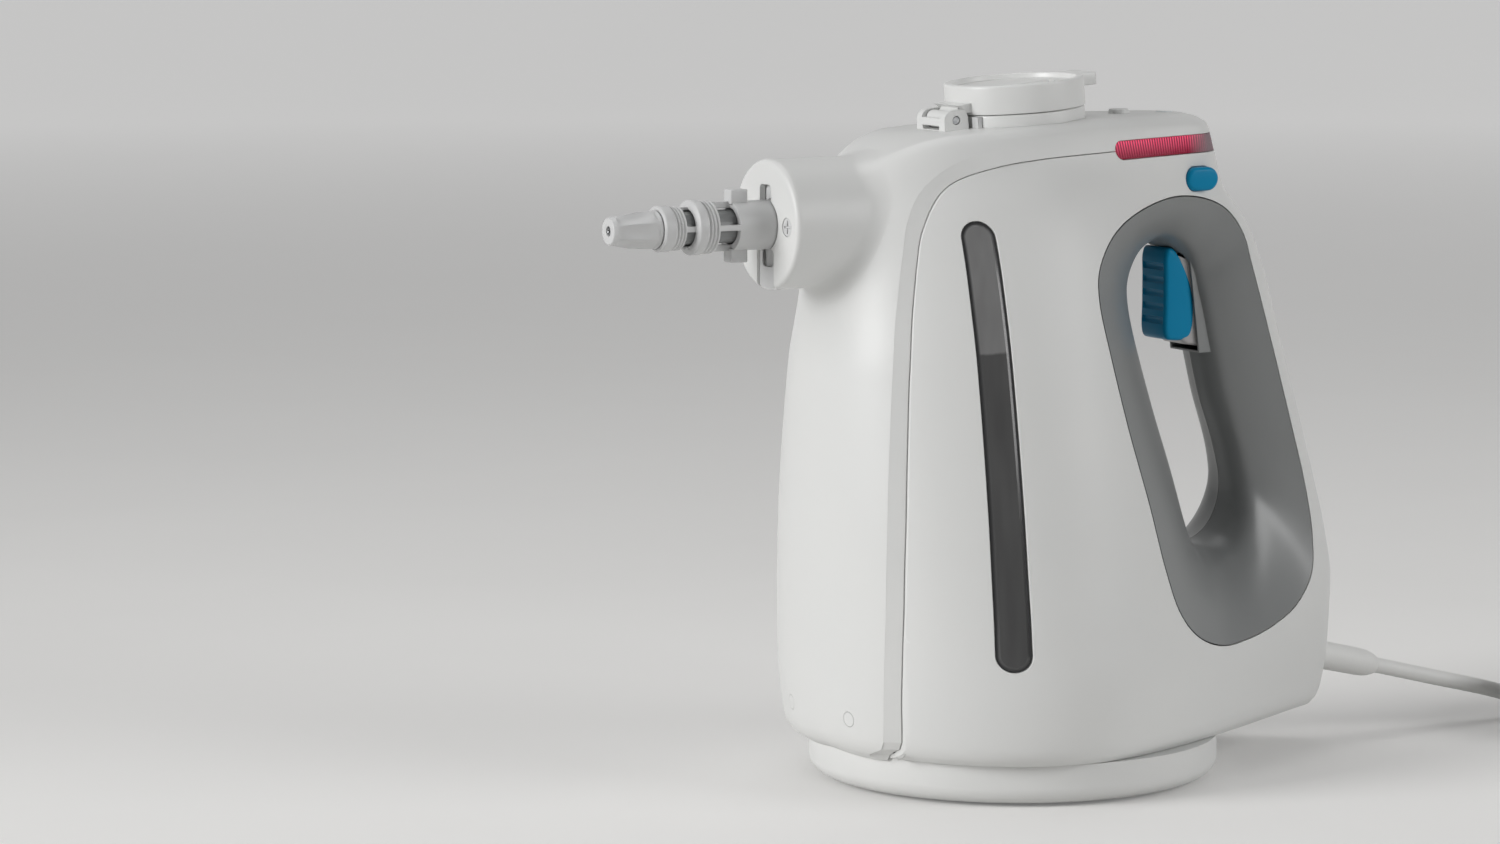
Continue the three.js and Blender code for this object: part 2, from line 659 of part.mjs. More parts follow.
// base cup with its feet and screws
const footInset = 18.5; // from the edge of the cup's flat floor
const foot = {
  radius: 8,
  height: 2,
  fromAxis: base.contactRadius - footInset,
  recess: 1,
  angle: 45 * degree,
};
const screwInset = 8.5;
const screw = {
  radius: 1.7,
  headRadius: 3.3,
  headHeight: 2,
  fromAxis: base.contactRadius - screwInset,
  shank: 16,
  bossRadius: 4.5,
  bossTop: 17,
  angle: quarterTurn,
};
const feetCount = 4;
const screwCount = 2;
function around(geometry, fromAxis, angle) {
  return geometry.clone().translate(fromAxis, 0, 0).rotateZ(angle);
}
function baseCup() {
  const { bottom, floor, contactRadius, roundHeight, lipRadius, lipTop } = base;
  const roundCount = 3;
  const profile = [[0, bottom]];
  for (let i = 0; i <= roundCount; i++) {
    const angle = (quarterTurn * i) / roundCount;
    profile.push([
      contactRadius + (baseRadius - contactRadius) * Math.sin(angle),
      bottom + roundHeight * (1 - Math.cos(angle)),
    ]);
  }
  const rim = seamHeight - gap;
  profile.push([baseRadius, rim], [lipRadius, rim], [lipRadius, lipTop], [lipRadius - base.wall, lipTop]);
  profile.push([lipRadius - base.wall, bottom + roundHeight], [contactRadius - base.wall, bottom + floor]);
  profile.push([0, bottom + floor]);
  const tools = [];
  for (let i = 0; i < feetCount; i++) {
    const recess = disc(foot.radius + gap, bottom - overrun, bottom + foot.recess, 16);
    tools.push(around(recess, foot.fromAxis, foot.angle + i * quarterTurn));
  }
  let cup = joined(turned(profile, 28));
  for (let i = 0; i < screwCount; i++) {
    const angle = screw.angle + i * Math.PI;
    cup = joined(cup, around(disc(screw.bossRadius, bottom, screw.bossTop, 12), screw.fromAxis, angle));
    tools.push(around(disc(screw.radius + gap, bottom - overrun, screw.bossTop + overrun, 12), screw.fromAxis, angle));
    const sink = disc(screw.headRadius + gap, bottom - overrun, bottom + screw.headHeight + gap, 12);
    tools.push(around(sink, screw.fromAxis, angle));
  }
  return cut(cup, ...tools);
}
add(group, 'base_cup', baseCup(), whiteShell);
for (let i = 0; i < feetCount; i++) {
  const mesh = add(group, `foot_${i + 1}`, disc(foot.radius, 0, foot.height - gap, 16), blackRubber);
  const angle = foot.angle + i * quarterTurn;
  mesh.position.set(foot.fromAxis * Math.cos(angle), foot.fromAxis * Math.sin(angle), 0);
}
for (let i = 0; i < screwCount; i++) {
  const shape = joined(
    disc(screw.headRadius, 0, screw.headHeight - gap, 16),
    disc(screw.radius, 0, screw.shank, 12),
  );
  const mesh = add(group, `base_screw_${i + 1}`, shape, steel);
  mesh.position.set(0, screw.fromAxis * Math.sin(screw.angle + i * Math.PI), base.bottom + gap);
}

// handle insert, window, lens, lock button, plugs, deck button and lamp
add(group, 'handle_insert_left', handleInsert(-1), greyGloss);
add(group, 'handle_insert_right', handleInsert(1), greyGloss);
const windowPane = common(
  cut(skin(windowShape.sink), skin(wall)),
  sideSlab(windowOutline(-gap / 2), [-bodyHalfWidth - overrun, 0]),
);
add(group, 'water_window', windowPane, smokedWindow);
const lensBand = common(cut(skin(lens.inset), skin(wall)), sideSlab(lensOutline(0), wholeWidth));
add(group, 'status_lens', lensBand, redLens);

const lockSide = skinHalfWidth(lock.x, lock.height);
const lockBar = sideSlab(lockOutline(0), [-lockSide - lock.proud, lockSide - lock.sink]);
add(group, 'lock_button', lockBar, blueTrigger);

for (const side of [-1, 1]) {
  const stub = plugPlace(disc(plug.radius, gap - plug.depth, overrun, 12), side);
  add(group, `screw_plug_${side < 0 ? 'left' : 'right'}`, common(stub, skin(-plug.proud)), whiteShell);
}
const deckButtonShape = disc(deckButton.radius, deckButton.bottom, bodyHeight + deckButton.proud, 16);
add(group, 'power_button', deckButtonShape, whiteShell).position.x = deckButton.x;
const lampShape = disc(lamp.radius, bodyHeight - lamp.depth, bodyHeight + lamp.proud, 16);
add(group, 'status_lamp', lampShape, clearTank).position.x = lamp.x;
const switchStem = { radius: 2.2, top: deckButton.bottom - deckButton.travel - gap };
const boardPlate = joined(
  block(
    [board.x - board.halfLength, board.x + board.halfLength],
    [-board.halfWidth, board.halfWidth],
    [board.bottom, board.bottom + board.thickness],
  ),
  disc(switchStem.radius, board.bottom, switchStem.top, 12).translate(deckButton.x, 0, 0),
);
add(group, 'button_board', boardPlate, boardGreen);
const strip = { depth: 0.6, thickness: 1.6, halfHeight: 3, startX: 32 };
const lightStrip = common(
  cut(skin(wall + strip.depth), skin(wall + strip.depth + strip.thickness)),
  block(
    [strip.startX, rearReach],
    wholeWidth,
    [lens.startHeight - strip.halfHeight, lens.startHeight + strip.halfHeight],
  ),
);
add(group, 'light_strip', lightStrip, boardGreen);

// filler neck, lid, seal, hinge
const rimWidth = 3.3;
const skirtClearance = 0.7;
const tabLength = 5.8;
const lid = {
  bottom: 6,
  rimTop: 17.8,
  dishRadius: lidRadius - rimWidth,
  dishDepth: 2.2,
  plate: 2,
  skirtRadius: neck.bore - skirtClearance,
  skirtWall: 2,
  skirtBottom: 1.5,
  tabReach: lidRadius + tabLength,
  tabHalfWidth: 9.5,
  tabThickness: 5.2,
  barHalfLength: 9,
  barHalfWidth: 2,
  barHeight: 1,
  barY: -12,
};
const hingeOut = 6.3; // from the lid's rim to the pin's axis
const hingeRim = 2.2; // how far the arm reaches in past the rim
const hinge = {
  x: -lidRadius - hingeOut,
  height: 4.8,
  pinRadius: 1.5,
  knuckleRadius: 3.6,
  armHalfWidth: 6.6,
  cheekFrom: 7,
  cheekTo: 11,
  frontRoom: 5.6,
  rear: -lidRadius - gap,
  top: 8.8,
  bottom: -6,
  roundness: 4,
  wallTop: 5.9,
  slitHalfWidth: 6.4,
  slitBottom: 1.2,
  slitTop: 2.8,
  hornHalfWidth: 10,
  hornRadius: 5.9, // the wide part of the lid's arm stays outside this radius round the pin
  hornTop: 6.1,
  nearAngle: 24 * degree, // round the pin: where the arm's horns end,
  webAngle: 50 * degree, // where its web ends
  hornAngle: 72 * degree, // and where the horns begin
};
const neckShape = turned(
  [
    [neck.bore, neck.bottom],
    [neck.lowerRadius, neck.bottom],
    [neck.lowerRadius, neck.shoulder],
    [neck.radius, neck.shoulder],
    [neck.radius, neck.top],
    [neck.bore, neck.top],
    [neck.bore, neck.bottom],
  ],
  24,
);
add(lidGroup, 'filler_neck', neckShape, whiteShell);

function lidShape() {
  const floor = lid.rimTop - lid.dishDepth;
  const ceiling = floor - lid.plate;
  const cap = cut(
    disc(lidRadius, lid.bottom, lid.rimTop, 24),
    disc(lid.dishRadius, floor, lid.rimTop + overrun, 24),
    disc(lidRadius - wall, lid.bottom - overrun, ceiling, 24),
  );
  const skirt = ring(lid.skirtRadius - lid.skirtWall, lid.skirtRadius, lid.skirtBottom, floor - lid.plate / 2, 24);
  const tab = cut(
    block(
      [lid.dishRadius, lid.tabReach],
      [-lid.tabHalfWidth, lid.tabHalfWidth],
      [lid.rimTop - lid.tabThickness, lid.rimTop],
    ),
    disc(lid.dishRadius, floor, lid.rimTop + overrun, 24),
  );
  const bar = block(
    [-lid.barHalfLength, lid.barHalfLength],
    [lid.barY - lid.barHalfWidth, lid.barY + lid.barHalfWidth],
    [floor - lid.plate / 2, floor + lid.barHeight],
  );
  const arm = joined(hingeArm(), rodAlongY(hinge.knuckleRadius, spanOf(hinge.armHalfWidth), hinge.x, hinge.height, 20));
  const bore = rodAlongY(hinge.pinRadius + gap, spanOf(lidRadius), hinge.x, hinge.height, 14);
  return cut(joined(cap, skirt, tab, bar, cut(arm, disc(lidRadius - wall, 0, ceiling, 24))), bore);
}
function spanOf(half) {
  return [-half, half];
}
// The arm is narrow where it runs between the cheeks and wide outside them; angles are round the pin.
function hingeArm() {
  const { hornRadius, hornTop, knuckleRadius } = hinge;
  const hornCount = 4;
  const { nearAngle, webAngle, hornAngle } = hinge;
  const at = (radius, angle) => [hinge.x + radius * Math.cos(angle), hinge.height + radius * Math.sin(angle)];
  const far = Array.from({ length: hornCount + 1 }, (_, i) =>
    at(hornRadius, THREE.MathUtils.lerp(hornAngle, nearAngle, i / hornCount)),
  );
  const level = hinge.height + hornRadius * Math.sin(nearAngle);
  const rim = hingeRim - lidRadius;
  const horn = [...far, [rim, level], [rim, hinge.height + hornTop]];
  const inner = knuckleRadius / 2;
  const web = [at(inner, webAngle), at(inner, 0), at(hornRadius, nearAngle), [rim, level], at(hornRadius + gap, webAngle)];
  return joined(sideSlab(horn, spanOf(hinge.hornHalfWidth)), sideSlab(web, spanOf(hinge.armHalfWidth)));
}
add(lidGroup, 'lid', lidShape(), whiteShell);
const seal = { thickness: 1.8 };
const sealShape = ring(
  lid.skirtRadius + gap,
  lidRadius - wall - gap,
  neck.top + gap,
  neck.top + gap + seal.thickness,
  24,
);
add(lidGroup, 'lid_seal', sealShape, blackRubber);
const pinShapeOfLid = rodAlongY(hinge.pinRadius, spanOf(hinge.cheekTo - gap), hinge.x, hinge.height, 14);
add(lidGroup, 'lid_hinge_pin', pinShapeOfLid, steel);
function hingeBlock() {
  const { rear, top, bottom, roundness, cheekFrom, cheekTo, wallTop } = hinge;
  const front = hinge.x - hinge.frontRoom;
  const outline = [[front, bottom], [rear, bottom]];
  const roundCount = 4;
  const reach = hinge.hornRadius - gap;
  const crest = Math.asin((top - hinge.height) / reach);
  for (let i = 0; i <= roundCount; i++) {
    const angle = (crest * i) / roundCount;
    outline.push([hinge.x + reach * Math.cos(angle), hinge.height + reach * Math.sin(angle)]);
  }
  for (let i = 0; i <= roundCount; i++) {
    const angle = quarterTurn + (quarterTurn * i) / roundCount;
    outline.push([front + roundness + roundness * Math.cos(angle), top - roundness + roundness * Math.sin(angle)]);
  }
  const whole = sideSlab(outline, spanOf(cheekTo));
  const room = joined(
    block([hinge.x, rear + overrun], spanOf(cheekFrom), [bottom - overrun, top + overrun]),
    block([front - overrun, hinge.x + overrun], spanOf(cheekFrom), [wallTop, top + overrun]),
    rodAlongY(hinge.knuckleRadius + gap, spanOf(cheekFrom), hinge.x, hinge.height, 20),
  );
  const slit = block([front - overrun, hinge.x], spanOf(hinge.slitHalfWidth), [hinge.slitBottom, hinge.slitTop]);
  const bore = rodAlongY(hinge.pinRadius + gap, spanOf(lidRadius), hinge.x, hinge.height, 14);
  const inBody = cut(whole, room, slit, bore);
  return cut(inBody.transform(lidGroup.matrix.elements), skin(-gap));
}
add(group, 'lid_hinge_block', hingeBlock(), whiteShell);
const buffer = { near: -11.5, far: -14.3, bottom: 0.8, top: 5.4, depth: 1.8 };
const bufferShape = cut(
  common(
    disc(neck.radius + gap + buffer.depth, buffer.bottom, buffer.top, 24),
    block([-lidRadius - overrun, 0], [buffer.far, buffer.near], [buffer.bottom, buffer.top]),
  ),
  disc(neck.radius + gap, buffer.bottom - overrun, buffer.top + overrun, 24),
);
add(lidGroup, 'lid_buffer', bufferShape, darkGrey);

// nozzle pieces; shares of the tube's radius and of the cage's span
const cageShares = [
  [1, 0], [1, 0.618], [1.07, 0.624], [1.07, 0.662], [1.01, 0.669], [1.01, 0.694], [1.07, 0.703], [1.07, 0.779],
  [1.01, 0.785], [0.84, 0.791], [0.84, 0.868], [0.88, 0.874], [0.88, 1],
];
const windowShares = [[0.7926, 0.8647], [0.497, 0.6206]];
const lugShare = 0.4147;
const cageSpan = 68;
const cage = {
  rear: barrel.faceReach - nozzle.insertion,
  front: barrel.faceReach - nozzle.insertion + cageSpan,
  ribHalfWidth: 1.1,
};
const boreRadius = nozzle.tubeRadius - nozzle.tubeWall;
function nozzleCage() {
  const along = (share) => cage.rear + share * cageSpan;
  const outside = cageShares.map(([r, z]) => [r * nozzle.tubeRadius, along(z)]);
  const profile = [...outside, [boreRadius, cage.front], [boreRadius, cage.rear], outside[0]];
  const lugFrom = along(lugShare);
  const lockFrom = barrel.faceReach - nozzle.lockDepth - nozzle.lockLength;
  const lugInner = nozzle.tubeRadius - nozzle.tubeWall / 2;
  const lugs = [-1, 1].flatMap((side) => {
    const outer = nozzle.tubeRadius + nozzle.lugHeight;
    const lockOuter = nozzle.tubeRadius + nozzle.lockHeight;
    const sided = (low, high) => (side < 0 ? [-high, -low] : [low, high]);
    return [
      block(
        sided(lugInner, outer),
        [-nozzle.lugHalfWidth, nozzle.lugHalfWidth],
        [lugFrom, lugFrom + nozzle.lugLength],
      ),
      block(
        [-nozzle.lugHalfWidth, nozzle.lugHalfWidth],
        sided(lugInner, lockOuter),
        [lockFrom, lockFrom + nozzle.lockLength],
      ),
    ];
  });
  const openings = [];
  for (const [from, to] of windowShares) {
    for (const across of [-1, 1]) {
      for (const up of [-1, 1]) {
        const far = 2 * nozzle.tubeRadius;
        const spanX = up < 0 ? [-far, -cage.ribHalfWidth] : [cage.ribHalfWidth, far];
        const spanY = across < 0 ? [-far, -cage.ribHalfWidth] : [cage.ribHalfWidth, far];
        openings.push(block(spanX, spanY, [along(from), along(to)]));
      }
    }
  }
  const open = cut(turned(profile, 16), ...openings);
  return joined(open, ...lugs);
}
add(nozzleGroup, 'nozzle_cage', nozzleCage(), nozzleGrey);

const tip = {
  span: 21.2, // ahead of the cage
  shoulder: 6, // of which it runs straight
  spigotDepth: 8.5, // and behind the cage's front
  spigotRadius: 7.1,
  rootRadius: 7.9,
  faceRadius: 4.8,
  bore: 1.5,
  pocketRadius: 2.9,
  pocketDepth: 2.2,
  chamfer: 0.8,
};
const tipReach = cage.front + tip.span;
const spigotFrom = cage.front - tip.spigotDepth;
const tipProfile = [
  [tip.bore, spigotFrom],
  [tip.spigotRadius, spigotFrom],
  [tip.spigotRadius, cage.front + gap],
  [tip.rootRadius, cage.front + gap],
  [tip.rootRadius, cage.front + tip.shoulder],
  [tip.faceRadius + tip.chamfer, tipReach - tip.chamfer],
  [tip.faceRadius, tipReach],
  [tip.pocketRadius, tipReach],
  [tip.pocketRadius, tipReach - tip.pocketDepth],
  [tip.bore, tipReach - tip.pocketDepth],
  [tip.bore, spigotFrom],
];
add(nozzleGroup, 'nozzle_tip', turned(tipProfile, 8), nozzleGrey);
const orifice = { bore: 0.8, thickness: 1.5 };
const orificeFrom = tipReach - tip.pocketDepth + gap;
const orificeShape = ring(orifice.bore, tip.pocketRadius - gap, orificeFrom, orificeFrom + orifice.thickness, 16);
add(nozzleGroup, 'nozzle_orifice', orificeShape, steel);
const innerTube = { radius: 6.7, bore: 3.2, overhang: 1.2 }; // how far it stands out behind the cage
const tubeRear = cage.rear - innerTube.overhang;
const innerTubeShape = ring(innerTube.bore, innerTube.radius, tubeRear, spigotFrom - gap, 20);
add(nozzleGroup, 'nozzle_inner_tube', innerTubeShape, darkGrey);
const nozzleSeal = { thickness: 2.7 };
const sealFrom = tubeRear - gap - nozzleSeal.thickness;
const nozzleSealShape = ring(innerTube.bore, innerTube.radius, sealFrom, sealFrom + nozzleSeal.thickness, 20);
add(nozzleGroup, 'nozzle_seal', nozzleSealShape, blackRubber);
const socket = { floor: 2.3, wall: 2.9, flangeThickness: 2.5, flangeDepth: 11 };
const socketTop = barrel.faceReach - socket.flangeDepth;
const socketBottom = sealFrom - gap - socket.floor;
const steamPipe = { radius: 3, outletHeight: 4, tankRoom: 12, bend: 9 };
const socketBore = nozzle.tubeRadius + nozzle.clearance;
const socketProfile = [
  [steamPipe.radius + gap, socketBottom],
  [socketBore + socket.wall, socketBottom],
  [socketBore + socket.wall, socketTop - socket.flangeThickness],
  [barrel.radius - wall - gap, socketTop - socket.flangeThickness],
  [barrel.radius - wall - gap, socketTop],
  [socketBore, socketTop],
  [socketBore, socketBottom + socket.floor],
  [steamPipe.radius + gap, socketBottom + socket.floor],
  [steamPipe.radius + gap, socketBottom],
];
add(nozzleGroup, 'nozzle_socket', turned(socketProfile, 20), darkGrey);

// trigger group, turning on its pivot
const triggerGroup = new THREE.Group();
triggerGroup.position.set(trigger.x, 0, trigger.height);
group.add(triggerGroup);
// outlines as shares of the trigger's length, from the pivot
const capShares = [
  [-0.7, -0.829], [-0.705, 0.078], [-0.648, 0.119], [-0.557, 0.067], [-0.464, -0.091], [-0.36, -0.311],
  [-0.321, -0.544], [-0.355, -0.819], [-0.412, -0.876], [-0.609, -0.889],
];
const carrierShares = [
  [-0.531, 0.078], [-0.456, -0.083], [-0.352, -0.308], [-0.313, -0.544], [-0.347, -0.824], [-0.391, -0.891],
  [-0.277, -0.959], [-0.039, -0.959], [0, -0.829], [0.08, -0.622], [0.08, -0.466], [0.117, -0.207],
  [0.117, 0.119], [-0.207, 0.13],
];
const scaled = (shares, size) => shares.map(([a, b]) => [a * size, b * size]);
const capShape = sideSlab(scaled(capShares, triggerLength), [-trigger.halfWidth, trigger.halfWidth]);
add(triggerGroup, 'trigger_cap', capShape, blueTrigger);
function triggerCarrier() {
  const half = trigger.halfWidth - 2 * gap;
  const body = sideSlab(scaled(carrierShares, triggerLength), [-half, half]);
  const notch = trigger.eyeHalfWidth;
  const tools = [-1, 1].map((side) =>
    block([-notch, 2 * notch], side < 0 ? [-trigger.halfWidth, -notch] : [notch, trigger.halfWidth], [-notch, 2 * notch]),
  );
  return cut(body, ...tools, rodAlongY(trigger.pinRadius + gap, [-trigger.halfWidth, trigger.halfWidth], 0, 0, 14));
}
add(triggerGroup, 'trigger_carrier', triggerCarrier(), nozzleGrey);
const pinShape = rodAlongY(trigger.pinRadius, [-trigger.pinHalf, trigger.pinHalf], 0, 0, 14);
add(triggerGroup, 'trigger_pin', pinShape, steel);
const spring = { radius: 2.7, wire: 0.4, from: 5.1, to: 8.4, curlCount: 3 };
function torsionSpring() {
  const stepCount = 8 * spring.curlCount;
  const rings = [];
  for (let i = 0; i <= stepCount; i++) {
    const angle = (i / stepCount) * spring.curlCount * 2 * Math.PI;
    const y = THREE.MathUtils.lerp(spring.from, spring.to, i / stepCount);
    const outward = new THREE.Vector3(Math.cos(angle), 0, Math.sin(angle));
    const across = new THREE.Vector3(0, 1, 0);
    const centre = outward.clone().multiplyScalar(spring.radius).addScaledVector(across, y);
    rings.push(wireRing(centre, outward, across, spring.wire, 5));
  }
  return tubeOf(rings);
}
function wireRing(centre, outward, across, radius, sides) {
  return Array.from({ length: sides }, (_, i) => {
    const angle = (i / sides) * 2 * Math.PI;
    return centre
      .clone()
      .addScaledVector(outward, radius * Math.cos(angle))
      .addScaledVector(across, radius * Math.sin(angle));
  });
}
// a tube from rings, closed at its ends by fans
function tubeOf(rings) {
  const count = rings[0].length;
  const places = rings.flat().flatMap((p) => [p.x, p.y, p.z]);
  const corners = [];
  for (let i = 0; i + 1 < rings.length; i++) {
    for (let j = 0; j < count; j++) {
      const k = (j + 1) % count;
      const [a, b, c, d] = [i * count + j, i * count + k, (i + 1) * count + k, (i + 1) * count + j];
      corners.push(a, c, b, a, d, c);
    }
  }
  for (let j = 1; j + 1 < count; j++) {
    const end = (rings.length - 1) * count;
    corners.push(0, j, j + 1, end, end + j + 1, end + j);
  }
  const geometry = new THREE.BufferGeometry();
  geometry.setAttribute('position', new THREE.Float32BufferAttribute(places, 3));
  geometry.setIndex(corners);
  geometry.computeVertexNormals();
  return geometryOf(solidOf(geometry));
}
add(triggerGroup, 'trigger_spring', torsionSpring(), steel);

// frame behind the trigger, with switch and plunger; measured from the trigger's pivot
const frame = {
  cheekFrom: 9.2,
  cheekTo: 10.3,
  front: -3.5,
  plateFrom: 9.8,
  plateTo: 11.3,
  bottom: -35,
  top: 4.4,
  cheekBottom: -6,
  ribHeight: 4.3,
  ribHalfWidth: 3,
  ribReach: 26.8,
};
const microSwitch = { from: 10.5, to: 20.5, halfWidth: 3.2, bottom: -29.6, top: -12.4, pocketDepth: 9 };
const plunger = { height: -21, headFrom: 3.5, headThickness: 1.5, headRadius: 2.1, rodRadius: 1.4, rodTo: 14.5 };
function triggerFrame() {
  const plate = block([frame.plateFrom, frame.plateTo], [-frame.cheekTo, frame.cheekTo], [frame.bottom, frame.top]);
  const cheeks = [-1, 1].map((side) =>
    block(
      [frame.front, frame.plateTo],
      side < 0 ? [-frame.cheekTo, -frame.cheekFrom] : [frame.cheekFrom, frame.cheekTo],
      [frame.cheekBottom, frame.top],
    ),
  );
  const rib = block(
    [frame.plateTo - gap, frame.ribReach],
    [-frame.ribHalfWidth, frame.ribHalfWidth],
    [frame.bottom, frame.bottom + frame.ribHeight],
  );
  const opening = block(
    [frame.plateFrom - overrun, frame.plateTo + overrun],
    [-microSwitch.halfWidth - gap, microSwitch.halfWidth + gap],
    [microSwitch.bottom - gap, microSwitch.top + gap],
  );
  const bore = rodAlongY(trigger.pinRadius + gap, [-frame.cheekTo - overrun, frame.cheekTo + overrun], 0, 0, 14);
  return cut(joined(plate, ...cheeks, rib), opening, bore);
}
add(triggerGroup, 'trigger_frame', triggerFrame(), darkGrey);
const switchBody = cut(
  block(
    [microSwitch.from, microSwitch.to],
    [-microSwitch.halfWidth, microSwitch.halfWidth],
    [microSwitch.bottom, microSwitch.top],
  ),
  rodAlongX(
    plunger.rodRadius + gap,
    [microSwitch.from - overrun, microSwitch.from + microSwitch.pocketDepth],
    0,
    plunger.height,
    12,
  ),
);
add(triggerGroup, 'microswitch', switchBody, blackRubber);
const headTo = plunger.headFrom + plunger.headThickness;
const plungerShape = joined(
  rodAlongX(plunger.headRadius, [plunger.headFrom, headTo], 0, plunger.height, 16),
  rodAlongX(plunger.rodRadius, [plunger.headFrom, plunger.rodTo], 0, plunger.height, 12),
);
add(triggerGroup, 'switch_plunger', plungerShape, nozzleGrey);

// water tank against the inside of the shells, with a shelf under the filler neck
const tankRoom = { front: 30, neckDip: 4.7, shelfDepth: 27, shelfRear: 2.8, shelfSide: 3.8 };
const tankTop = lidGroup.position.z + neck.bottom + tankRoom.neckDip;
const tank = {
  front: tankRoom.front - frontReach,
  rear: -31,
  bottom: 46,
  top: tankTop,
  wall: 2,
  inset: 3,
  shelfBottom: tankTop - tankRoom.shelfDepth,
  shelfRear: neck.lowerRadius + tankRoom.shelfRear,
  shelfHalfWidth: neck.lowerRadius + tankRoom.shelfSide,
  spoutX: -48,
  spoutY: 24,
  spoutRadius: 4.5,
  spoutLength: 7,
};
function tankSolid(shrink) {
  const { front, rear, bottom, top, shelfBottom, shelfRear, shelfHalfWidth } = tank;
  const reach = bodyHalfWidth;
  const column = common(
    skin(tank.inset + shrink),
    block([front + shrink, rear - shrink], [-reach, reach], [bottom + shrink, top - shrink]),
  );
  const shelf = block(
    [front + 2 * shrink + (rear - front) / 2, shelfRear - shrink],
    [shrink - shelfHalfWidth, shelfHalfWidth - shrink],
    [shelfBottom + shrink, top - shrink],
  );
  return joined(column, shelf);
}
const hose = { radius: 3, bore: 1.6, bend: 8, clearance: 12, level: 20 };
function waterTank() {
  const { bottom, spoutX, spoutY, spoutRadius, spoutLength } = tank;
  const spout = disc(spoutRadius, bottom - spoutLength, bottom + tank.wall / 2, 16).translate(spoutX, spoutY, 0);
  const bore = disc(hose.bore, bottom - spoutLength - overrun, bottom + 2 * tank.wall, 12).translate(spoutX, spoutY, 0);
  const mouth = inLid(disc(neck.lowerRadius + gap, neck.bottom - overrun, 0, 24));
  const posts = [-1, 1].map((side) =>
    rodAlongX(controlBoard.postRadius, [tank.rear - tank.wall / 2, controlBoard.x - gap], side * controlBoard.postY,
      controlBoard.postHeight, 12),
  );
  return joined(cut(joined(tankSolid(0), spout), tankSolid(tank.wall), mouth, bore), ...posts);
}
const boardRoom = { tankGap: 5, rise: 80, postDrop: 8 };
const boardBottom = 100;
const controlBoard = {
  x: tank.rear + boardRoom.tankGap,
  thickness: 1.6,
  halfWidth: 38,
  bottom: boardBottom,
  top: boardBottom + boardRoom.rise,
  postRadius: 3,
  postY: 30,
  postHeight: boardBottom + boardRoom.rise - boardRoom.postDrop,
  relaySize: 14,
  relayHeight: 12,
  chipSize: 20,
  chipHeight: 4,
};
add(group, 'water_tank', waterTank(), clearTank);
function boardShape() {
  const { x, thickness, halfWidth, bottom, top, relaySize, relayHeight, chipSize, chipHeight } = controlBoard;
  const face = x + thickness;
  const middle = (bottom + top) / 2;
  return joined(
    block([x, face], [-halfWidth, halfWidth], [bottom, top]),
    block([face - thickness / 2, face + relayHeight], [relaySize, 2 * relaySize], [middle, middle + relaySize]),
    block([face - thickness / 2, face + chipHeight], [-chipSize, 0], [middle - chipSize, middle]),
  );
}
add(group, 'control_board', boardShape(), boardGreen);

// boiler on its bracket
const boiler = {
  x: 3,
  halfLength: 27,
  halfWidth: 30,
  bottom: 34,
  top: 72,
  finHeight: 4,
  finThickness: 3,
  finCount: 6,
  elementRadius: 4,
  elementOffset: 13,
  inletSide: 18,
};
const elementX = boiler.x + boiler.elementOffset;
const outletLevel = boiler.bottom + steamPipe.outletHeight;
const boilerMiddle = (boiler.bottom + boiler.top) / 2;
const outletDepth = 8;
const boilerEnds = [boiler.x - boiler.halfLength, boiler.x + boiler.halfLength];
function boilerShape() {
  const blockBody = block(boilerEnds, [-boiler.halfWidth, boiler.halfWidth], [boiler.bottom, boiler.top - boiler.finHeight]);
  const fins = Array.from({ length: boiler.finCount }, (_, i) => {
    const y = THREE.MathUtils.lerp(
      boiler.finThickness / 2 - boiler.halfWidth,
      boiler.halfWidth - boiler.finThickness / 2,
      i / (boiler.finCount - 1),
    );
    return block(
      boilerEnds,
      [y - boiler.finThickness / 2, y + boiler.finThickness / 2],
      [boiler.bottom, boiler.top],
    );
  });
  const through = [-boiler.halfWidth - overrun, boiler.halfWidth + overrun];
  const element = rodAlongY(boiler.elementRadius + gap, through, elementX, boilerMiddle, 16);
  const outlet = rodAlongX(
    steamPipe.radius + gap,
    [boilerEnds[0] - overrun, boilerEnds[0] + outletDepth],
    0,
    outletLevel,
    12,
  );
  const inlet = rodAlongX(
    hose.radius + gap,
    [boilerEnds[1] - outletDepth, boilerEnds[1] + overrun],
    -boiler.inletSide,
    boilerMiddle,
    12,
  );
  return cut(joined(blockBody, ...fins), element, outlet, inlet);
}
const boilerFootZ = base.bottom + base.floor + gap;
add(group, 'boiler', boilerShape(), castAluminium);
const element = { overhang: 9, terminalRadius: 1.2, terminalLength: 7 };
const elementHalf = boiler.halfWidth + element.overhang;
const elementShape = joined(
  rodAlongY(boiler.elementRadius, [-elementHalf, elementHalf], elementX, boilerMiddle, 16),
  rodAlongY(
    element.terminalRadius,
    [-elementHalf - element.terminalLength, elementHalf + element.terminalLength],
    elementX,
    boilerMiddle,
    10,
  ),
);
add(group, 'heater_element', elementShape, steel);
const bracket = { halfLength: 20, halfWidth: 24, sheet: 1.5, footWidth: 12 };
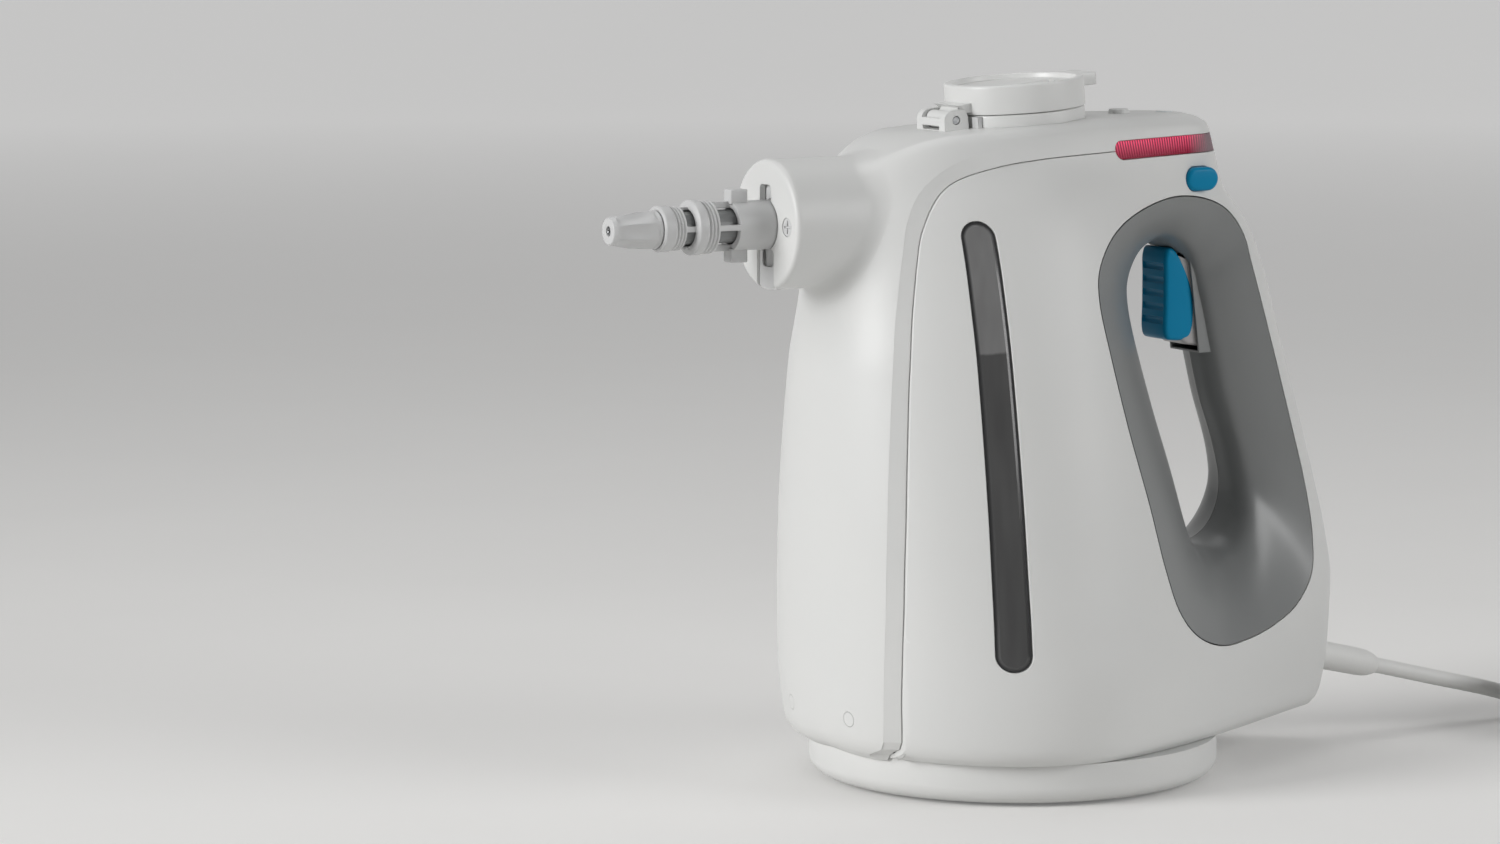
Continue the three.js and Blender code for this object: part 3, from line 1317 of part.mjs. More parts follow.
function boilerBracket() {
  const top = boiler.bottom - gap;
  const outer = block(
    [boiler.x - bracket.halfLength, boiler.x + bracket.halfLength],
    [-bracket.halfWidth, bracket.halfWidth],
    [boilerFootZ, top],
  );
  const room = block(
    [boiler.x - bracket.halfLength - overrun, boiler.x + bracket.halfLength + overrun],
    [bracket.sheet - bracket.halfWidth, bracket.halfWidth - bracket.sheet],
    [boilerFootZ - overrun, top - bracket.sheet],
  );
  const feet = [-1, 1].map((side) => {
    const [near, far] = [bracket.halfWidth - bracket.sheet, bracket.halfWidth + bracket.footWidth];
    return block(
      [boiler.x - bracket.halfLength, boiler.x + bracket.halfLength],
      side < 0 ? [-far, -near] : [near, far],
      [boilerFootZ, boilerFootZ + bracket.sheet],
    );
  });
  return joined(cut(outer, room), ...feet);
}
add(group, 'boiler_bracket', boilerBracket(), steel);
const thermostat = { radius: 8, height: 6, offset: 9, capRadius: 5, capHeight: 3 };
const thermostatShape = joined(
  disc(thermostat.radius, boiler.top + gap, boiler.top + gap + thermostat.height, 24),
  disc(thermostat.capRadius, boiler.top, boiler.top + gap + thermostat.height + thermostat.capHeight, 16),
);
const thermostatSeat = cut(thermostatShape, disc(thermostat.radius + gap, 0, boiler.top + gap, 24));
add(group, 'thermostat', thermostatSeat, steel).position.x = boiler.x - thermostat.offset;
const fuse = { radius: 2.4, halfLength: 11, offset: 15 };
const fuseShape = rodAlongY(fuse.radius, [-fuse.halfLength, fuse.halfLength], 0, boiler.top + gap + fuse.radius, 12);
add(group, 'thermal_fuse', fuseShape, siliconeHose).position.x = boiler.x + fuse.offset;

// pump on its mount, hoses and steam pipe
const pumpShares = [0.463, 0.1415, 0.09, 0.0386]; // its middle, half length, half coil and spigot
const [pumpMiddle, pumpHalf, pumpCoil, pumpSpigot] = pumpShares.map((share) => share * rearReach);
const pump = {
  x: pumpMiddle,
  height: 42,
  radius: 13.5,
  halfLength: pumpHalf,
  coilHalfLength: pumpCoil,
  coilHalfWidth: 17,
  spigotRadius: 2.8,
  spigotLength: pumpSpigot,
};
function pumpShape() {
  const body = rodAlongX(pump.radius, [pump.x - pump.halfLength, pump.x + pump.halfLength], 0, pump.height, 24);
  const coil = block(
    [pump.x - pump.coilHalfLength, pump.x + pump.coilHalfLength],
    [-pump.coilHalfWidth, pump.coilHalfWidth],
    [pump.height - pump.coilHalfWidth, pump.height + pump.coilHalfWidth],
  );
  const reach = pump.halfLength + pump.spigotLength;
  return joined(body, coil, rodAlongX(pump.spigotRadius, [pump.x - reach, pump.x + reach], 0, pump.height, 12));
}
add(group, 'pump', pumpShape(), blackRubber);
const mount = { span: 13, halfWidth: 15, wall: 2.5, lipRoom: 4.1 };
const mountRear = base.lipRadius - base.wall - mount.lipRoom;
const mountEnds = [mountRear - mount.span, mountRear];
function pumpMount() {
  const top = pump.height - pump.coilHalfWidth - gap;
  const whole = block(mountEnds, [-mount.halfWidth, mount.halfWidth], [boilerFootZ, top]);
  const room = block(
    [mountEnds[0] - overrun, mountEnds[1] + overrun],
    [mount.wall - mount.halfWidth, mount.halfWidth - mount.wall],
    [boilerFootZ + mount.wall, top - mount.wall],
  );
  return cut(whole, room);
}
add(group, 'pump_mount', pumpMount(), blackRubber);
const pumpEnds = [pump.x - pump.halfLength - pump.spigotLength, pump.x + pump.halfLength + pump.spigotLength];
const spoutEnd = tank.bottom - tank.spoutLength;
const hoseSide = boiler.halfWidth + hose.clearance;
const suctionRoute = [
  [tank.spoutX, tank.spoutY, spoutEnd - gap],
  [tank.spoutX, tank.spoutY, hose.level + hose.bend],
  [tank.spoutX + hose.bend, tank.spoutY + hose.bend, hose.level],
  [boilerEnds[0], hoseSide, hose.level],
  [boiler.x, hoseSide, hose.level],
  [boilerEnds[1], hoseSide - hose.bend, hose.level + hose.bend],
  [boilerEnds[1] + hose.bend, hose.clearance, pump.height - hose.radius],
  [pumpEnds[0] - 2 * hose.radius, 0, pump.height],
  [pumpEnds[0] - gap, 0, pump.height],
];
add(group, 'suction_hose', tube(suctionRoute, hose.radius, 22, 6), siliconeHose);
const pumpSide = pump.radius + hose.bend;
const pressureRoute = [
  [pumpEnds[1] + gap, 0, pump.height],
  [pumpEnds[1] + hose.radius, 0, pump.height],
  [pumpEnds[1] + hose.bend, -hose.radius, pump.height],
  [pumpEnds[1] + hose.bend, -pump.radius, pump.height],
  [pump.x + pump.halfLength, -pumpSide, pump.height],
  [pump.x + hose.bend, -pumpSide - hose.radius, pump.height + hose.radius],
  [pump.x - pump.coilHalfLength, -pump.coilHalfWidth - 2 * hose.radius, boilerMiddle - hose.radius],
  [boilerEnds[1] + hose.bend, -boiler.inletSide, boilerMiddle],
  [boilerEnds[1] - outletDepth + gap, -boiler.inletSide, boilerMiddle],
];
add(group, 'pressure_hose', tube(pressureRoute, hose.radius, 20, 6), siliconeHose);
const riserX = tank.front - steamPipe.tankRoom;
const pipeBend = steamPipe.bend;
const corner = pipeBend * (1 - Math.SQRT1_2);
const steamRoute = [
  [boilerEnds[0] + outletDepth - gap, 0, outletLevel],
  [(boilerEnds[0] + riserX) / 2, 0, outletLevel],
  [riserX + pipeBend, 0, outletLevel],
  [riserX + corner, 0, outletLevel + corner],
  [riserX, 0, outletLevel + pipeBend],
  [riserX, 0, (outletLevel + nozzleHeight) / 2],
  [riserX, 0, nozzleHeight - pipeBend],
  [riserX - corner, 0, nozzleHeight - corner],
  [riserX - pipeBend, 0, nozzleHeight],
  [-socketBottom - socket.floor + gap, 0, nozzleHeight],
];
add(group, 'steam_pipe', tube(steamRoute, steamPipe.radius, 24, 6), steel);

// mains entry
const terminal = { rearRoom: 43.5, span: 16, halfWidth: 7, height: 12 };
const terminalFrom = rearReach - terminal.rearRoom;
const terminalTo = terminalFrom + terminal.span;
const rearFloorTop = seamHeight + wall + gap;
const terminalShape = block(
  [terminalFrom, terminalTo],
  [-terminal.halfWidth, terminal.halfWidth],
  [rearFloorTop, rearFloorTop + terminal.height],
);
add(group, 'terminal_block', terminalShape, siliconeHose);
const clamp = { room: 4, span: 7, halfWidth: 8, height: 16, boreHeight: 31 };
const clampEnds = [terminalTo + clamp.room, terminalTo + clamp.room + clamp.span];
const clampShape = cut(
  block(clampEnds, [-clamp.halfWidth, clamp.halfWidth], [rearFloorTop, rearFloorTop + clamp.height]),
  rodAlongX(gland.neckRadius / 2, [clampEnds[0] - overrun, clampEnds[1] + overrun], 0, clamp.boreHeight, 12),
);
add(group, 'cable_clamp', clampShape, darkGrey);

// cord: gland, free stretch, put-away coil, tie and plug
const cord = { radius: 3.4, coilRadius: 49.5, pitch: 7.3, lift: 1, turnCount: 3, layerCount: 4, stepCount: 24 };
// how the gland tapers to the cord: shares of its radius and of its depth from the tip
const glandTipShares = [[1, 0.225], [0.966, 0.15], [0.864, 0.085], [0.746, 0.035]];
const glandShape = turned(
  [
    [0, -gland.depth],
    [gland.flange, -gland.depth],
    [gland.flange, gland.flangeThickness - gland.depth],
    [gland.neckRadius, gland.flangeThickness - gland.depth],
    ...glandTipShares.map(([r, z]) => [r * gland.neckRadius, -z * gland.depth]),
    [cord.radius + gap, 0],
    [0, 0],
  ],
  14,
);
add(glandGroup, 'cord_gland', glandShape, cordWhite);

const coilCentre = { x: 290, y: -cord.coilRadius };
const floorLevel = cord.radius + cord.lift;
const coilStart = coilCentre.x - 2 * cord.radius;
const glandEnd = new THREE.Vector3(0, 0, gap).applyMatrix4(glandGroup.matrix);
const glandAhead = new THREE.Vector3(0, 0, 2 * cord.radius).applyMatrix4(glandGroup.matrix);
const leadRoute = [
  glandEnd.toArray(),
  glandAhead.toArray(),
  [200, 0, 25.3],
  [215, 0, 21.5],
  [230, 0, 17.8],
  [241, 0, 15],
  [252, 0, 11.9],
  [262, 0, 8.6],
  [271, 0, 6],
  [277, 0, floorLevel],
  [coilStart - gap, 0, floorLevel],
];
add(group, 'cord_lead', tube(leadRoute, cord.radius, 9, 10), cordWhite);

const tail = { straight: 14, descentEnd: 48, end: 55 };
const plugSize = {
  radius: 18.6,
  reliefRadius: 5.4,
  reliefLength: 22,
  bodyLength: 33,
  pinLength: 19,
  pinRadius: 2.4,
  pinOffset: 9.5,
};
const turns = cord.turnCount * cord.layerCount;
function coilPoint(turn) {
  const phase = turn % (2 * cord.turnCount);
  const wound = phase < cord.turnCount ? phase : 2 * cord.turnCount - phase;
  const radius = cord.coilRadius - cord.pitch * wound;
  const nearest = Math.round(turn / cord.turnCount);
  const climb = THREE.MathUtils.clamp((turn - nearest * cord.turnCount) * 2 + 0.5, 0, 1);
  const layer = nearest < 1 || nearest >= cord.layerCount ? Math.floor(turn / cord.turnCount) : nearest - 1 + smooth(climb);
  const level = Math.min(layer, cord.layerCount - 1);
  const angle = quarterTurn - turn * 2 * Math.PI;
  return new THREE.Vector3(
    coilCentre.x + radius * Math.cos(angle),
    coilCentre.y + radius * Math.sin(angle),
    floorLevel + level * cord.pitch,
  );
}
function smooth(t) {
  return t * t * (3 - 2 * t);
}
function coilPath() {
  const points = [new THREE.Vector3(coilStart, 0, floorLevel), new THREE.Vector3(coilCentre.x - cord.radius, 0, floorLevel)];
  const steps = turns * cord.stepCount;
  for (let i = 0; i <= steps; i++) points.push(coilPoint(i / cord.stepCount));
  const high = points.at(-1).z;
  const low = plugSize.radius;
  const tailCount = 8;
  for (let i = 0; i <= tailCount; i++) {
    const reach = THREE.MathUtils.lerp(tail.straight, tail.descentEnd, i / tailCount);
    points.push(new THREE.Vector3(coilCentre.x + reach, 0, THREE.MathUtils.lerp(high, low, smooth(i / tailCount))));
  }
  points.push(new THREE.Vector3(coilCentre.x + tail.end, 0, low));
  return points;
}
function ringsAlong(points, radius, sides) {
  return points.map((point, i) => {
    const before = points[Math.max(0, i - 1)];
    const after = points[Math.min(points.length - 1, i + 1)];
    const along = after.clone().sub(before).normalize();
    const outward = new THREE.Vector3(along.y, -along.x, 0).normalize();
    const across = new THREE.Vector3().crossVectors(outward, along);
    return wireRing(point, outward, across, radius, sides);
  });
}
const coilPoints = coilPath();
add(group, 'cord_coil', tubeOf(ringsAlong(coilPoints, cord.radius, 6)), cordWhite);

// least gap of the coil to itself, and the whole cord's length
function leastGap(points, diameter, apart) {
  let least = Infinity;
  for (let i = 0; i < points.length; i++) {
    for (let j = i + apart; j < points.length; j++) least = Math.min(least, points[i].distanceTo(points[j]));
  }
  return least - diameter;
}
function lengthOf(points) {
  return points.slice(1).reduce((sum, point, i) => sum + point.distanceTo(points[i]), 0);
}
const leadLength = lengthOf(leadRoute.map((p) => new THREE.Vector3(...p)));
console.log('least gap of the coil to itself, mm', leastGap(coilPoints, 2 * cord.radius, 12).toFixed(2));
console.log('cord length, mm', (lengthOf(coilPoints) + leadLength).toFixed(0));

const tie = { halfWidth: 5, thickness: 0.7, clearance: 1 };
function tieShape() {
  const inner = cord.coilRadius - (cord.turnCount - 0.5) * cord.pitch - cord.radius - tie.clearance;
  const outer = cord.coilRadius - cord.pitch / 2 + cord.radius + tie.clearance;
  const top = floorLevel + (cord.layerCount - 1) * cord.pitch + cord.radius + gap;
  const bottom = cord.lift - gap;
  const across = [coilCentre.x - tie.halfWidth, coilCentre.x + tie.halfWidth];
  return cut(
    block(
      across,
      [coilCentre.y - outer - tie.thickness, coilCentre.y - inner + tie.thickness],
      [bottom - tie.thickness, top + tie.thickness],
    ),
    block([across[0] - overrun, across[1] + overrun], [coilCentre.y - outer, coilCentre.y - inner], [bottom, top]),
  );
}
add(group, 'cord_tie', tieShape(), blackRubber);

// the plug's body behind its bend relief: shares of its radius and length
const plugShares = [[0.6, 0], [0.85, 0.15], [1, 0.4], [1, 1]];
function plugShape() {
  const { radius, reliefRadius, reliefLength, bodyLength, pinLength, pinRadius, pinOffset } = plugSize;
  const bodyEnd = reliefLength + bodyLength;
  const body = turned(
    [
      [0, 0],
      [cord.radius + gap, 0],
      [reliefRadius, reliefLength],
      ...plugShares.map(([r, z]) => [r * radius, reliefLength + z * bodyLength]),
      [0, bodyEnd],
    ],
    16,
  );
  const pins = [-1, 1].map((side) =>
    disc(pinRadius, bodyEnd - overrun, bodyEnd + pinLength, 12).translate(0, side * pinOffset, 0),
  );
  return joined(body, ...pins).transform(new THREE.Matrix4().makeRotationY(quarterTurn).elements);
}
const plugMesh = add(group, 'cord_plug', plugShape(), cordWhite);
plugMesh.position.set(coilCentre.x + tail.end + gap, 0, plugSize.radius);

// The origin is under the middle of the cleaner, from nozzle tip to the rear of the body.
group.position.x = (tipReach - rearReach) / 2;

export default group;
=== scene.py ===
# Hand-held steam cleaner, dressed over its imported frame.
# Lengths in the dictionaries are millimetres from the body axis: nozzle towards -X, seen side towards -Y.
import bmesh
import bpy
import math
import numpy as np
from mathutils import Matrix, Vector
from mathutils.bvhtree import BVHTree


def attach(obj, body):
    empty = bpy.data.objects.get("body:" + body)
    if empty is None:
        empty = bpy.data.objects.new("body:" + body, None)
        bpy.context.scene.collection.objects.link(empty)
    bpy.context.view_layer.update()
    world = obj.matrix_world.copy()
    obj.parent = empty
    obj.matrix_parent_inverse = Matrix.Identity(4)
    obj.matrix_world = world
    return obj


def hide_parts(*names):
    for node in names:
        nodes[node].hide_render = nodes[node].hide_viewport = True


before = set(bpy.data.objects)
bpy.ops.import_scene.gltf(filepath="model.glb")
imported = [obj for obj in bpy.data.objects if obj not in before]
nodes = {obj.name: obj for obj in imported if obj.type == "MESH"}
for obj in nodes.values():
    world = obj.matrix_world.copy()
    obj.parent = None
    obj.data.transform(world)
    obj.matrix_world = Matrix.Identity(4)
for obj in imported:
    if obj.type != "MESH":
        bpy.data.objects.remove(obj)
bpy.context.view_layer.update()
mm = 0.001
axisPlace = np.array([16.35, 0, 0])  # where the body axis stands in the frame
print("frame loaded,", len(nodes), "nodes")

# camera, from the perspective of the photograph
cameraSetup = {"place": (-1.08668, -1.76535, 0.395), "tilt": 83.16, "turn": -29, "lens": 121.92}
camera = bpy.data.objects.new("camera", bpy.data.cameras.new("camera"))
camera.location = cameraSetup["place"]
camera.rotation_euler = (math.radians(cameraSetup["tilt"]), 0, math.radians(cameraSetup["turn"]))
camera.data.lens = cameraSetup["lens"]
camera.data.clip_start, camera.data.clip_end = 0.05, 40
bpy.context.scene.collection.objects.link(camera)
bpy.context.scene.camera = camera


def hexColour(code):
    values = [int(code[i:i + 2], 16) / 255 for i in (1, 3, 5)]
    return [v / 12.92 if v <= 0.04045 else ((v + 0.055) / 1.055) ** 2.4 for v in values] + [1]


def addNode(tree, kind, sockets=None, **settings):
    node = tree.nodes.new(kind)
    for key, value in settings.items():
        setattr(node, key, value)
    for key, value in (sockets or {}).items():
        if isinstance(value, bpy.types.NodeSocket):
            tree.links.new(value, node.inputs[key])
        else:
            node.inputs[key].default_value = value
    return node


def newMaterial(name):
    material = bpy.data.materials.new(name)
    material.use_nodes = True
    tree = material.node_tree
    return material, tree, tree.nodes["Principled BSDF"]


def perMetre(size):  # texture scale for a feature of that many millimetres
    return 1000 / size


# Moulded plastics: a faint cloud of tint, gloss that varies over it, a spark-eroded or polished grain in the
# bump, and rounded edges. Real grain is about a tenth of a millimetre, and is drawn coarser so that it shows.
def mouldedPlastic(name, look):
    material, tree, shader = newMaterial(name)
    place = addNode(tree, "ShaderNodeTexCoord").outputs["Object"]
    cloud = addNode(tree, "ShaderNodeTexNoise", {
        "Vector": place, "Scale": perMetre(look.get("cloud", 55)), "Detail": 3.0})
    tint = addNode(tree, "ShaderNodeMix", {"Factor": cloud.outputs["Fac"]}, data_type="RGBA")
    tint.inputs[6].default_value = hexColour(look["colour"])
    tint.inputs[7].default_value = hexColour(look["tint"])
    gloss = addNode(tree, "ShaderNodeMapRange", {
        "Value": cloud.outputs["Fac"], "To Min": look["roughness"][0], "To Max": look["roughness"][1]})
    grain = addNode(tree, "ShaderNodeTexNoise", {
        "Vector": place, "Scale": perMetre(look["grain"]), "Detail": 2.0})
    edges = addNode(tree, "ShaderNodeBevel", {"Radius": look.get("edge", 0.4) * mm}, samples=6)
    bump = addNode(tree, "ShaderNodeBump", {
        "Height": grain.outputs["Fac"], "Distance": look["depth"] * mm, "Strength": 1.0,
        "Normal": edges.outputs[0]})
    tree.links.new(tint.outputs[2], shader.inputs["Base Color"])
    tree.links.new(gloss.outputs[0], shader.inputs["Roughness"])
    tree.links.new(bump.outputs[0], shader.inputs["Normal"])
    shader.inputs["IOR"].default_value = look.get("ior", 1.5)
    shader.inputs["Specular IOR Level"].default_value = look.get("specular", 0.5)
    shader.inputs["Coat Weight"].default_value = look.get("coat", 0)
    shader.inputs["Coat Roughness"].default_value = look.get("coatRoughness", 0.05)
    shader.inputs["Subsurface Weight"].default_value = look.get("subsurface", 0)
    shader.inputs["Subsurface Radius"].default_value = (0.002, 0.002, 0.002)
    return material


# White ABS, moulded against a finely eroded tool: soft wide highlights, barely warm.
whiteAbs = mouldedPlastic("whiteMouldedAbs", {
    "colour": "#dededc", "tint": "#dadbda", "roughness": (0.38, 0.46),
    "grain": 0.8, "depth": 0.012, "ior": 1.54, "edge": 0.5})
# The same ABS from a polished tool, on the lid and its neck: a little glossier.
lidAbs = mouldedPlastic("whitePolishedAbs", {
    "colour": "#e0e0de", "tint": "#dcdddc", "roughness": (0.3, 0.38),
    "grain": 1.2, "depth": 0.008, "ior": 1.54, "edge": 0.5})
# Grey ABS of the handle insert: satin under a thin clear skin, with the slight waviness of a large moulding.
glossGreyAbs = mouldedPlastic("greyHighGlossAbs", {
    "colour": "#828484", "tint": "#7e8080", "roughness": (0.36, 0.42), "grain": 14, "depth": 0.03,
    "ior": 1.54, "coat": 0.35, "coatRoughness": 0.3, "edge": 0.5, "cloud": 70})
# Pale grey polyamide of the nozzle: satin, slightly waxy.
greyPolyamide = mouldedPlastic("greyPolyamide", {
    "colour": "#d0d0d0", "tint": "#cacbcb", "roughness": (0.38, 0.48),
    "grain": 0.7, "depth": 0.015, "ior": 1.53, "edge": 0.35})
# Pale grey acetal of the trigger's body: dense and satin.
paleAcetal = mouldedPlastic("paleAcetal", {
    "colour": "#b4b2b1", "tint": "#adabab", "roughness": (0.3, 0.38),
    "grain": 0.9, "depth": 0.01, "ior": 1.48, "edge": 0.4})
# Dark glass-filled polyamide inside: matt, with a coarse fibre grain.
darkPolyamide = mouldedPlastic("darkGlassFilledPolyamide", {
    "colour": "#4b4b4b", "tint": "#424243", "roughness": (0.5, 0.62),
    "grain": 0.5, "depth": 0.03, "ior": 1.53, "edge": 0.3})
# Blue ABS of trigger and lock button: clear colour under a gloss.
blueAbs = mouldedPlastic("blueGlossAbs", {
    "colour": "#0888b4", "tint": "#0781ab", "roughness": (0.26, 0.34), "grain": 1.0, "depth": 0.01,
    "ior": 1.54, "specular": 0.12, "edge": 0.45})
# Soft PVC of cord, gland and plug: dull white with a faint skin.
whitePvc = mouldedPlastic("whiteSoftPvc", {
    "colour": "#e8e8e6", "tint": "#e1e1df", "roughness": (0.45, 0.55),
    "grain": 0.6, "depth": 0.02, "ior": 1.53, "edge": 0.4})
# Black moulded rubber of feet, seals and mounts: matt and slightly dusty.
blackRubber = mouldedPlastic("blackRubber", {
    "colour": "#2b2b2b", "tint": "#353534", "roughness": (0.68, 0.82),
    "grain": 0.5, "depth": 0.04, "ior": 1.52, "edge": 0.4})
# Natural polypropylene of the tank: milky, light gets into it.
naturalPolypropylene = mouldedPlastic("naturalPolypropylene", {
    "colour": "#dde2e2", "tint": "#d3dada", "roughness": (0.3, 0.4), "grain": 1.5, "depth": 0.02, "ior": 1.49,
    "subsurface": 0.3, "edge": 0.5})
# Silicone hose: milky and soft.
milkySilicone = mouldedPlastic("milkySilicone", {
    "colour": "#e2e0da", "tint": "#d8d5cd", "roughness": (0.5, 0.6), "grain": 0.8, "depth": 0.02, "ior": 1.41,
    "subsurface": 0.25, "edge": 0.3})


def wornMetal(name, look):
    material, tree, shader = newMaterial(name)
    place = addNode(tree, "ShaderNodeTexCoord").outputs["Object"]
    stretched = addNode(tree, "ShaderNodeMapping", {"Vector": place, "Scale": look["stretch"]})
    marks = addNode(tree, "ShaderNodeTexNoise", {
        "Vector": stretched.outputs[0], "Scale": perMetre(look["grain"]), "Detail": 4.0})
    tint = addNode(tree, "ShaderNodeValToRGB", {"Fac": marks.outputs["Fac"]})
    tint.color_ramp.elements[0].color = hexColour(look["dark"])
    tint.color_ramp.elements[0].position = 0.3
    tint.color_ramp.elements[1].color = hexColour(look["bright"])
    tint.color_ramp.elements[1].position = 0.7
    gloss = addNode(tree, "ShaderNodeMapRange", {
        "Value": marks.outputs["Fac"], "To Min": look["roughness"][0], "To Max": look["roughness"][1]})
    bump = addNode(tree, "ShaderNodeBump", {
        "Height": marks.outputs["Fac"], "Distance": look["depth"] * mm, "Strength": 1.0})
    tree.links.new(tint.outputs[0], shader.inputs["Base Color"])
    tree.links.new(gloss.outputs[0], shader.inputs["Roughness"])
    tree.links.new(bump.outputs[0], shader.inputs["Normal"])
    shader.inputs["Metallic"].default_value = 1
    return material


# Stainless steel, drawn: lines along its length, coarser than real ones so that they show.
drawnSteel = wornMetal("drawnStainlessSteel", {
    "dark": "#8e9092", "bright": "#b4b5b6", "roughness": (0.24, 0.36), "grain": 0.5,
    "depth": 0.01, "stretch": (0.15, 1, 1)})
# Cast aluminium, as it leaves the die: grainy and dull.
castAluminium = wornMetal("castAluminium", {
    "dark": "#a3a5a7", "bright": "#c3c5c6", "roughness": (0.42, 0.56), "grain": 0.9,
    "depth": 0.05, "stretch": (1, 1, 1)})
# Nickel-plated brass pins: bright, a little yellow.
platedBrass = wornMetal("nickelPlatedBrass", {
    "dark": "#b2afa6", "bright": "#cbc8bf", "roughness": (0.2, 0.3), "grain": 0.8,
    "depth": 0.01, "stretch": (0.2, 1, 1)})


# Glass epoxy under green lacquer: a grid of paler tracks, wider than real ones, that stand up a little.
def circuitBoard():
    material, tree, shader = newMaterial("lacqueredGlassEpoxy")
    place = addNode(tree, "ShaderNodeTexCoord").outputs["Object"]
    tracks = addNode(tree, "ShaderNodeTexBrick", {
        "Vector": place, "Scale": perMetre(6), "Mortar Size": 0.05, "Color1": hexColour("#1f6b3d"),
        "Color2": hexColour("#1b6238"), "Mortar": hexColour("#3c8a58")})
    bump = addNode(tree, "ShaderNodeBump", {
        "Height": tracks.outputs["Fac"], "Distance": 0.05 * mm, "Strength": 1.0})
    tree.links.new(tracks.outputs["Color"], shader.inputs["Base Color"])
    tree.links.new(bump.outputs[0], shader.inputs["Normal"])
    shader.inputs["Roughness"].default_value = 0.35
    return material


boardLacquer = circuitBoard()

# the pane's long axis leans a little: X at its foot, then at its top
# the streaks are painted reflections; the rim colour is painted shade along the bevelled edge
windowLook = {
    "axisX": (-49.6, -47.9), "bottom": 57.2, "top": 233.5, "radius": 6.5, "rimFrom": 4.7, "rimTo": 5.6,
    "rimDepth": 0.5, "waterLevel": 182, "ripple": 5, "reflectionStreak": 6, "wet": "#4b4b4b", "dry": "#777777",
    "rim": "#333334",
}


# Smoked polycarbonate, polished: dark, with the tank's water line showing through, painted reflection
# streaks, and a bevelled rim darkened by painted shade.
def smokedPane():
    material, tree, shader = newMaterial("smokedPolycarbonate")
    look = windowLook
    place = addNode(tree, "ShaderNodeTexCoord").outputs["Object"]
    axes = addNode(tree, "ShaderNodeSeparateXYZ", {"Vector": place})
    ripple = addNode(tree, "ShaderNodeTexNoise", {
        "Vector": place, "Scale": perMetre(look["ripple"]), "Detail": 2.0})
    line = addNode(tree, "ShaderNodeMath", {
        0: ripple.outputs["Fac"], 1: 3 * mm, 2: axes.outputs["Z"]}, operation="MULTIPLY_ADD")
    wet = addNode(tree, "ShaderNodeMapRange", {
        "Value": line.outputs[0], "From Min": (look["waterLevel"] + 1) * mm,
        "From Max": (look["waterLevel"] + 2.2) * mm})
    water = addNode(tree, "ShaderNodeMix", {"Factor": wet.outputs[0]}, data_type="RGBA")
    water.inputs[6].default_value = hexColour(look["wet"])
    water.inputs[7].default_value = hexColour(look["dry"])
    # painted reflections: long soft streaks along the pane, lighter and darker
    drawn = addNode(tree, "ShaderNodeMapping", {"Vector": place, "Scale": (1, 1, 0.01)})
    reflectionStreak = addNode(tree, "ShaderNodeTexNoise", {
        "Vector": drawn.outputs[0], "Scale": perMetre(look["reflectionStreak"]), "Detail": 1.0})
    shade = addNode(tree, "ShaderNodeMapRange", {
        "Value": reflectionStreak.outputs["Fac"], "From Min": 0.3, "From Max": 0.7, "To Min": 0.9, "To Max": 1.12})
    withReflections = addNode(tree, "ShaderNodeVectorMath", {0: water.outputs[2]}, operation="SCALE")
    tree.links.new(shade.outputs[0], withReflections.inputs["Scale"])
    # distance from the pane's long axis, which is a stadium's
    height = (look["bottom"] + look["radius"], look["top"] - look["radius"])
    along = addNode(tree, "ShaderNodeMapRange", {
        "Value": axes.outputs["Z"], "From Min": height[0] * mm, "From Max": height[1] * mm,
        "To Min": (look["axisX"][0] + axisPlace[0]) * mm, "To Max": (look["axisX"][1] + axisPlace[0]) * mm})
    inside = addNode(tree, "ShaderNodeClamp", {
        "Value": axes.outputs["Z"], "Min": height[0] * mm, "Max": height[1] * mm})
    away = addNode(tree, "ShaderNodeMath", {0: axes.outputs["X"], 1: along.outputs[0]}, operation="SUBTRACT")
    up = addNode(tree, "ShaderNodeMath", {0: axes.outputs["Z"], 1: inside.outputs[0]}, operation="SUBTRACT")
    gathered = addNode(tree, "ShaderNodeCombineXYZ", {"X": away.outputs[0], "Y": up.outputs[0]})
    reach = addNode(tree, "ShaderNodeVectorMath", {0: gathered.outputs[0]}, operation="LENGTH")
    rim = addNode(tree, "ShaderNodeMapRange", {
        "Value": reach.outputs["Value"], "From Min": look["rimFrom"] * mm, "From Max": look["rimTo"] * mm})
    # painted shade: the colour darkens to the rim colour along the pane's bevelled edge
    colour = addNode(tree, "ShaderNodeMix", {"Factor": rim.outputs[0]}, data_type="RGBA")
    tree.links.new(withReflections.outputs[0], colour.inputs[6])
    colour.inputs[7].default_value = hexColour(look["rim"])
    slope = addNode(tree, "ShaderNodeBump", {
        "Height": rim.outputs[0], "Distance": look["rimDepth"] * mm, "Strength": 1.0}, invert=True)
    tree.links.new(colour.outputs[2], shader.inputs["Base Color"])
    tree.links.new(slope.outputs[0], shader.inputs["Normal"])
    shader.inputs["Roughness"].default_value = 0.12
    shader.inputs["IOR"].default_value = 1.58
    shader.inputs["Coat Weight"].default_value = 0.5
    shader.inputs["Coat Roughness"].default_value = 0.04
    return material


smokedPolycarbonate = smokedPane()

# valley and crest colours: painted shade between the ribs and painted highlight on their crests
lensLook = {"valleyShade": "#6a0320", "crest": "#ff5c84", "unlit": "#8d7a80", "sharpness": 1.8, "power": 0.42}
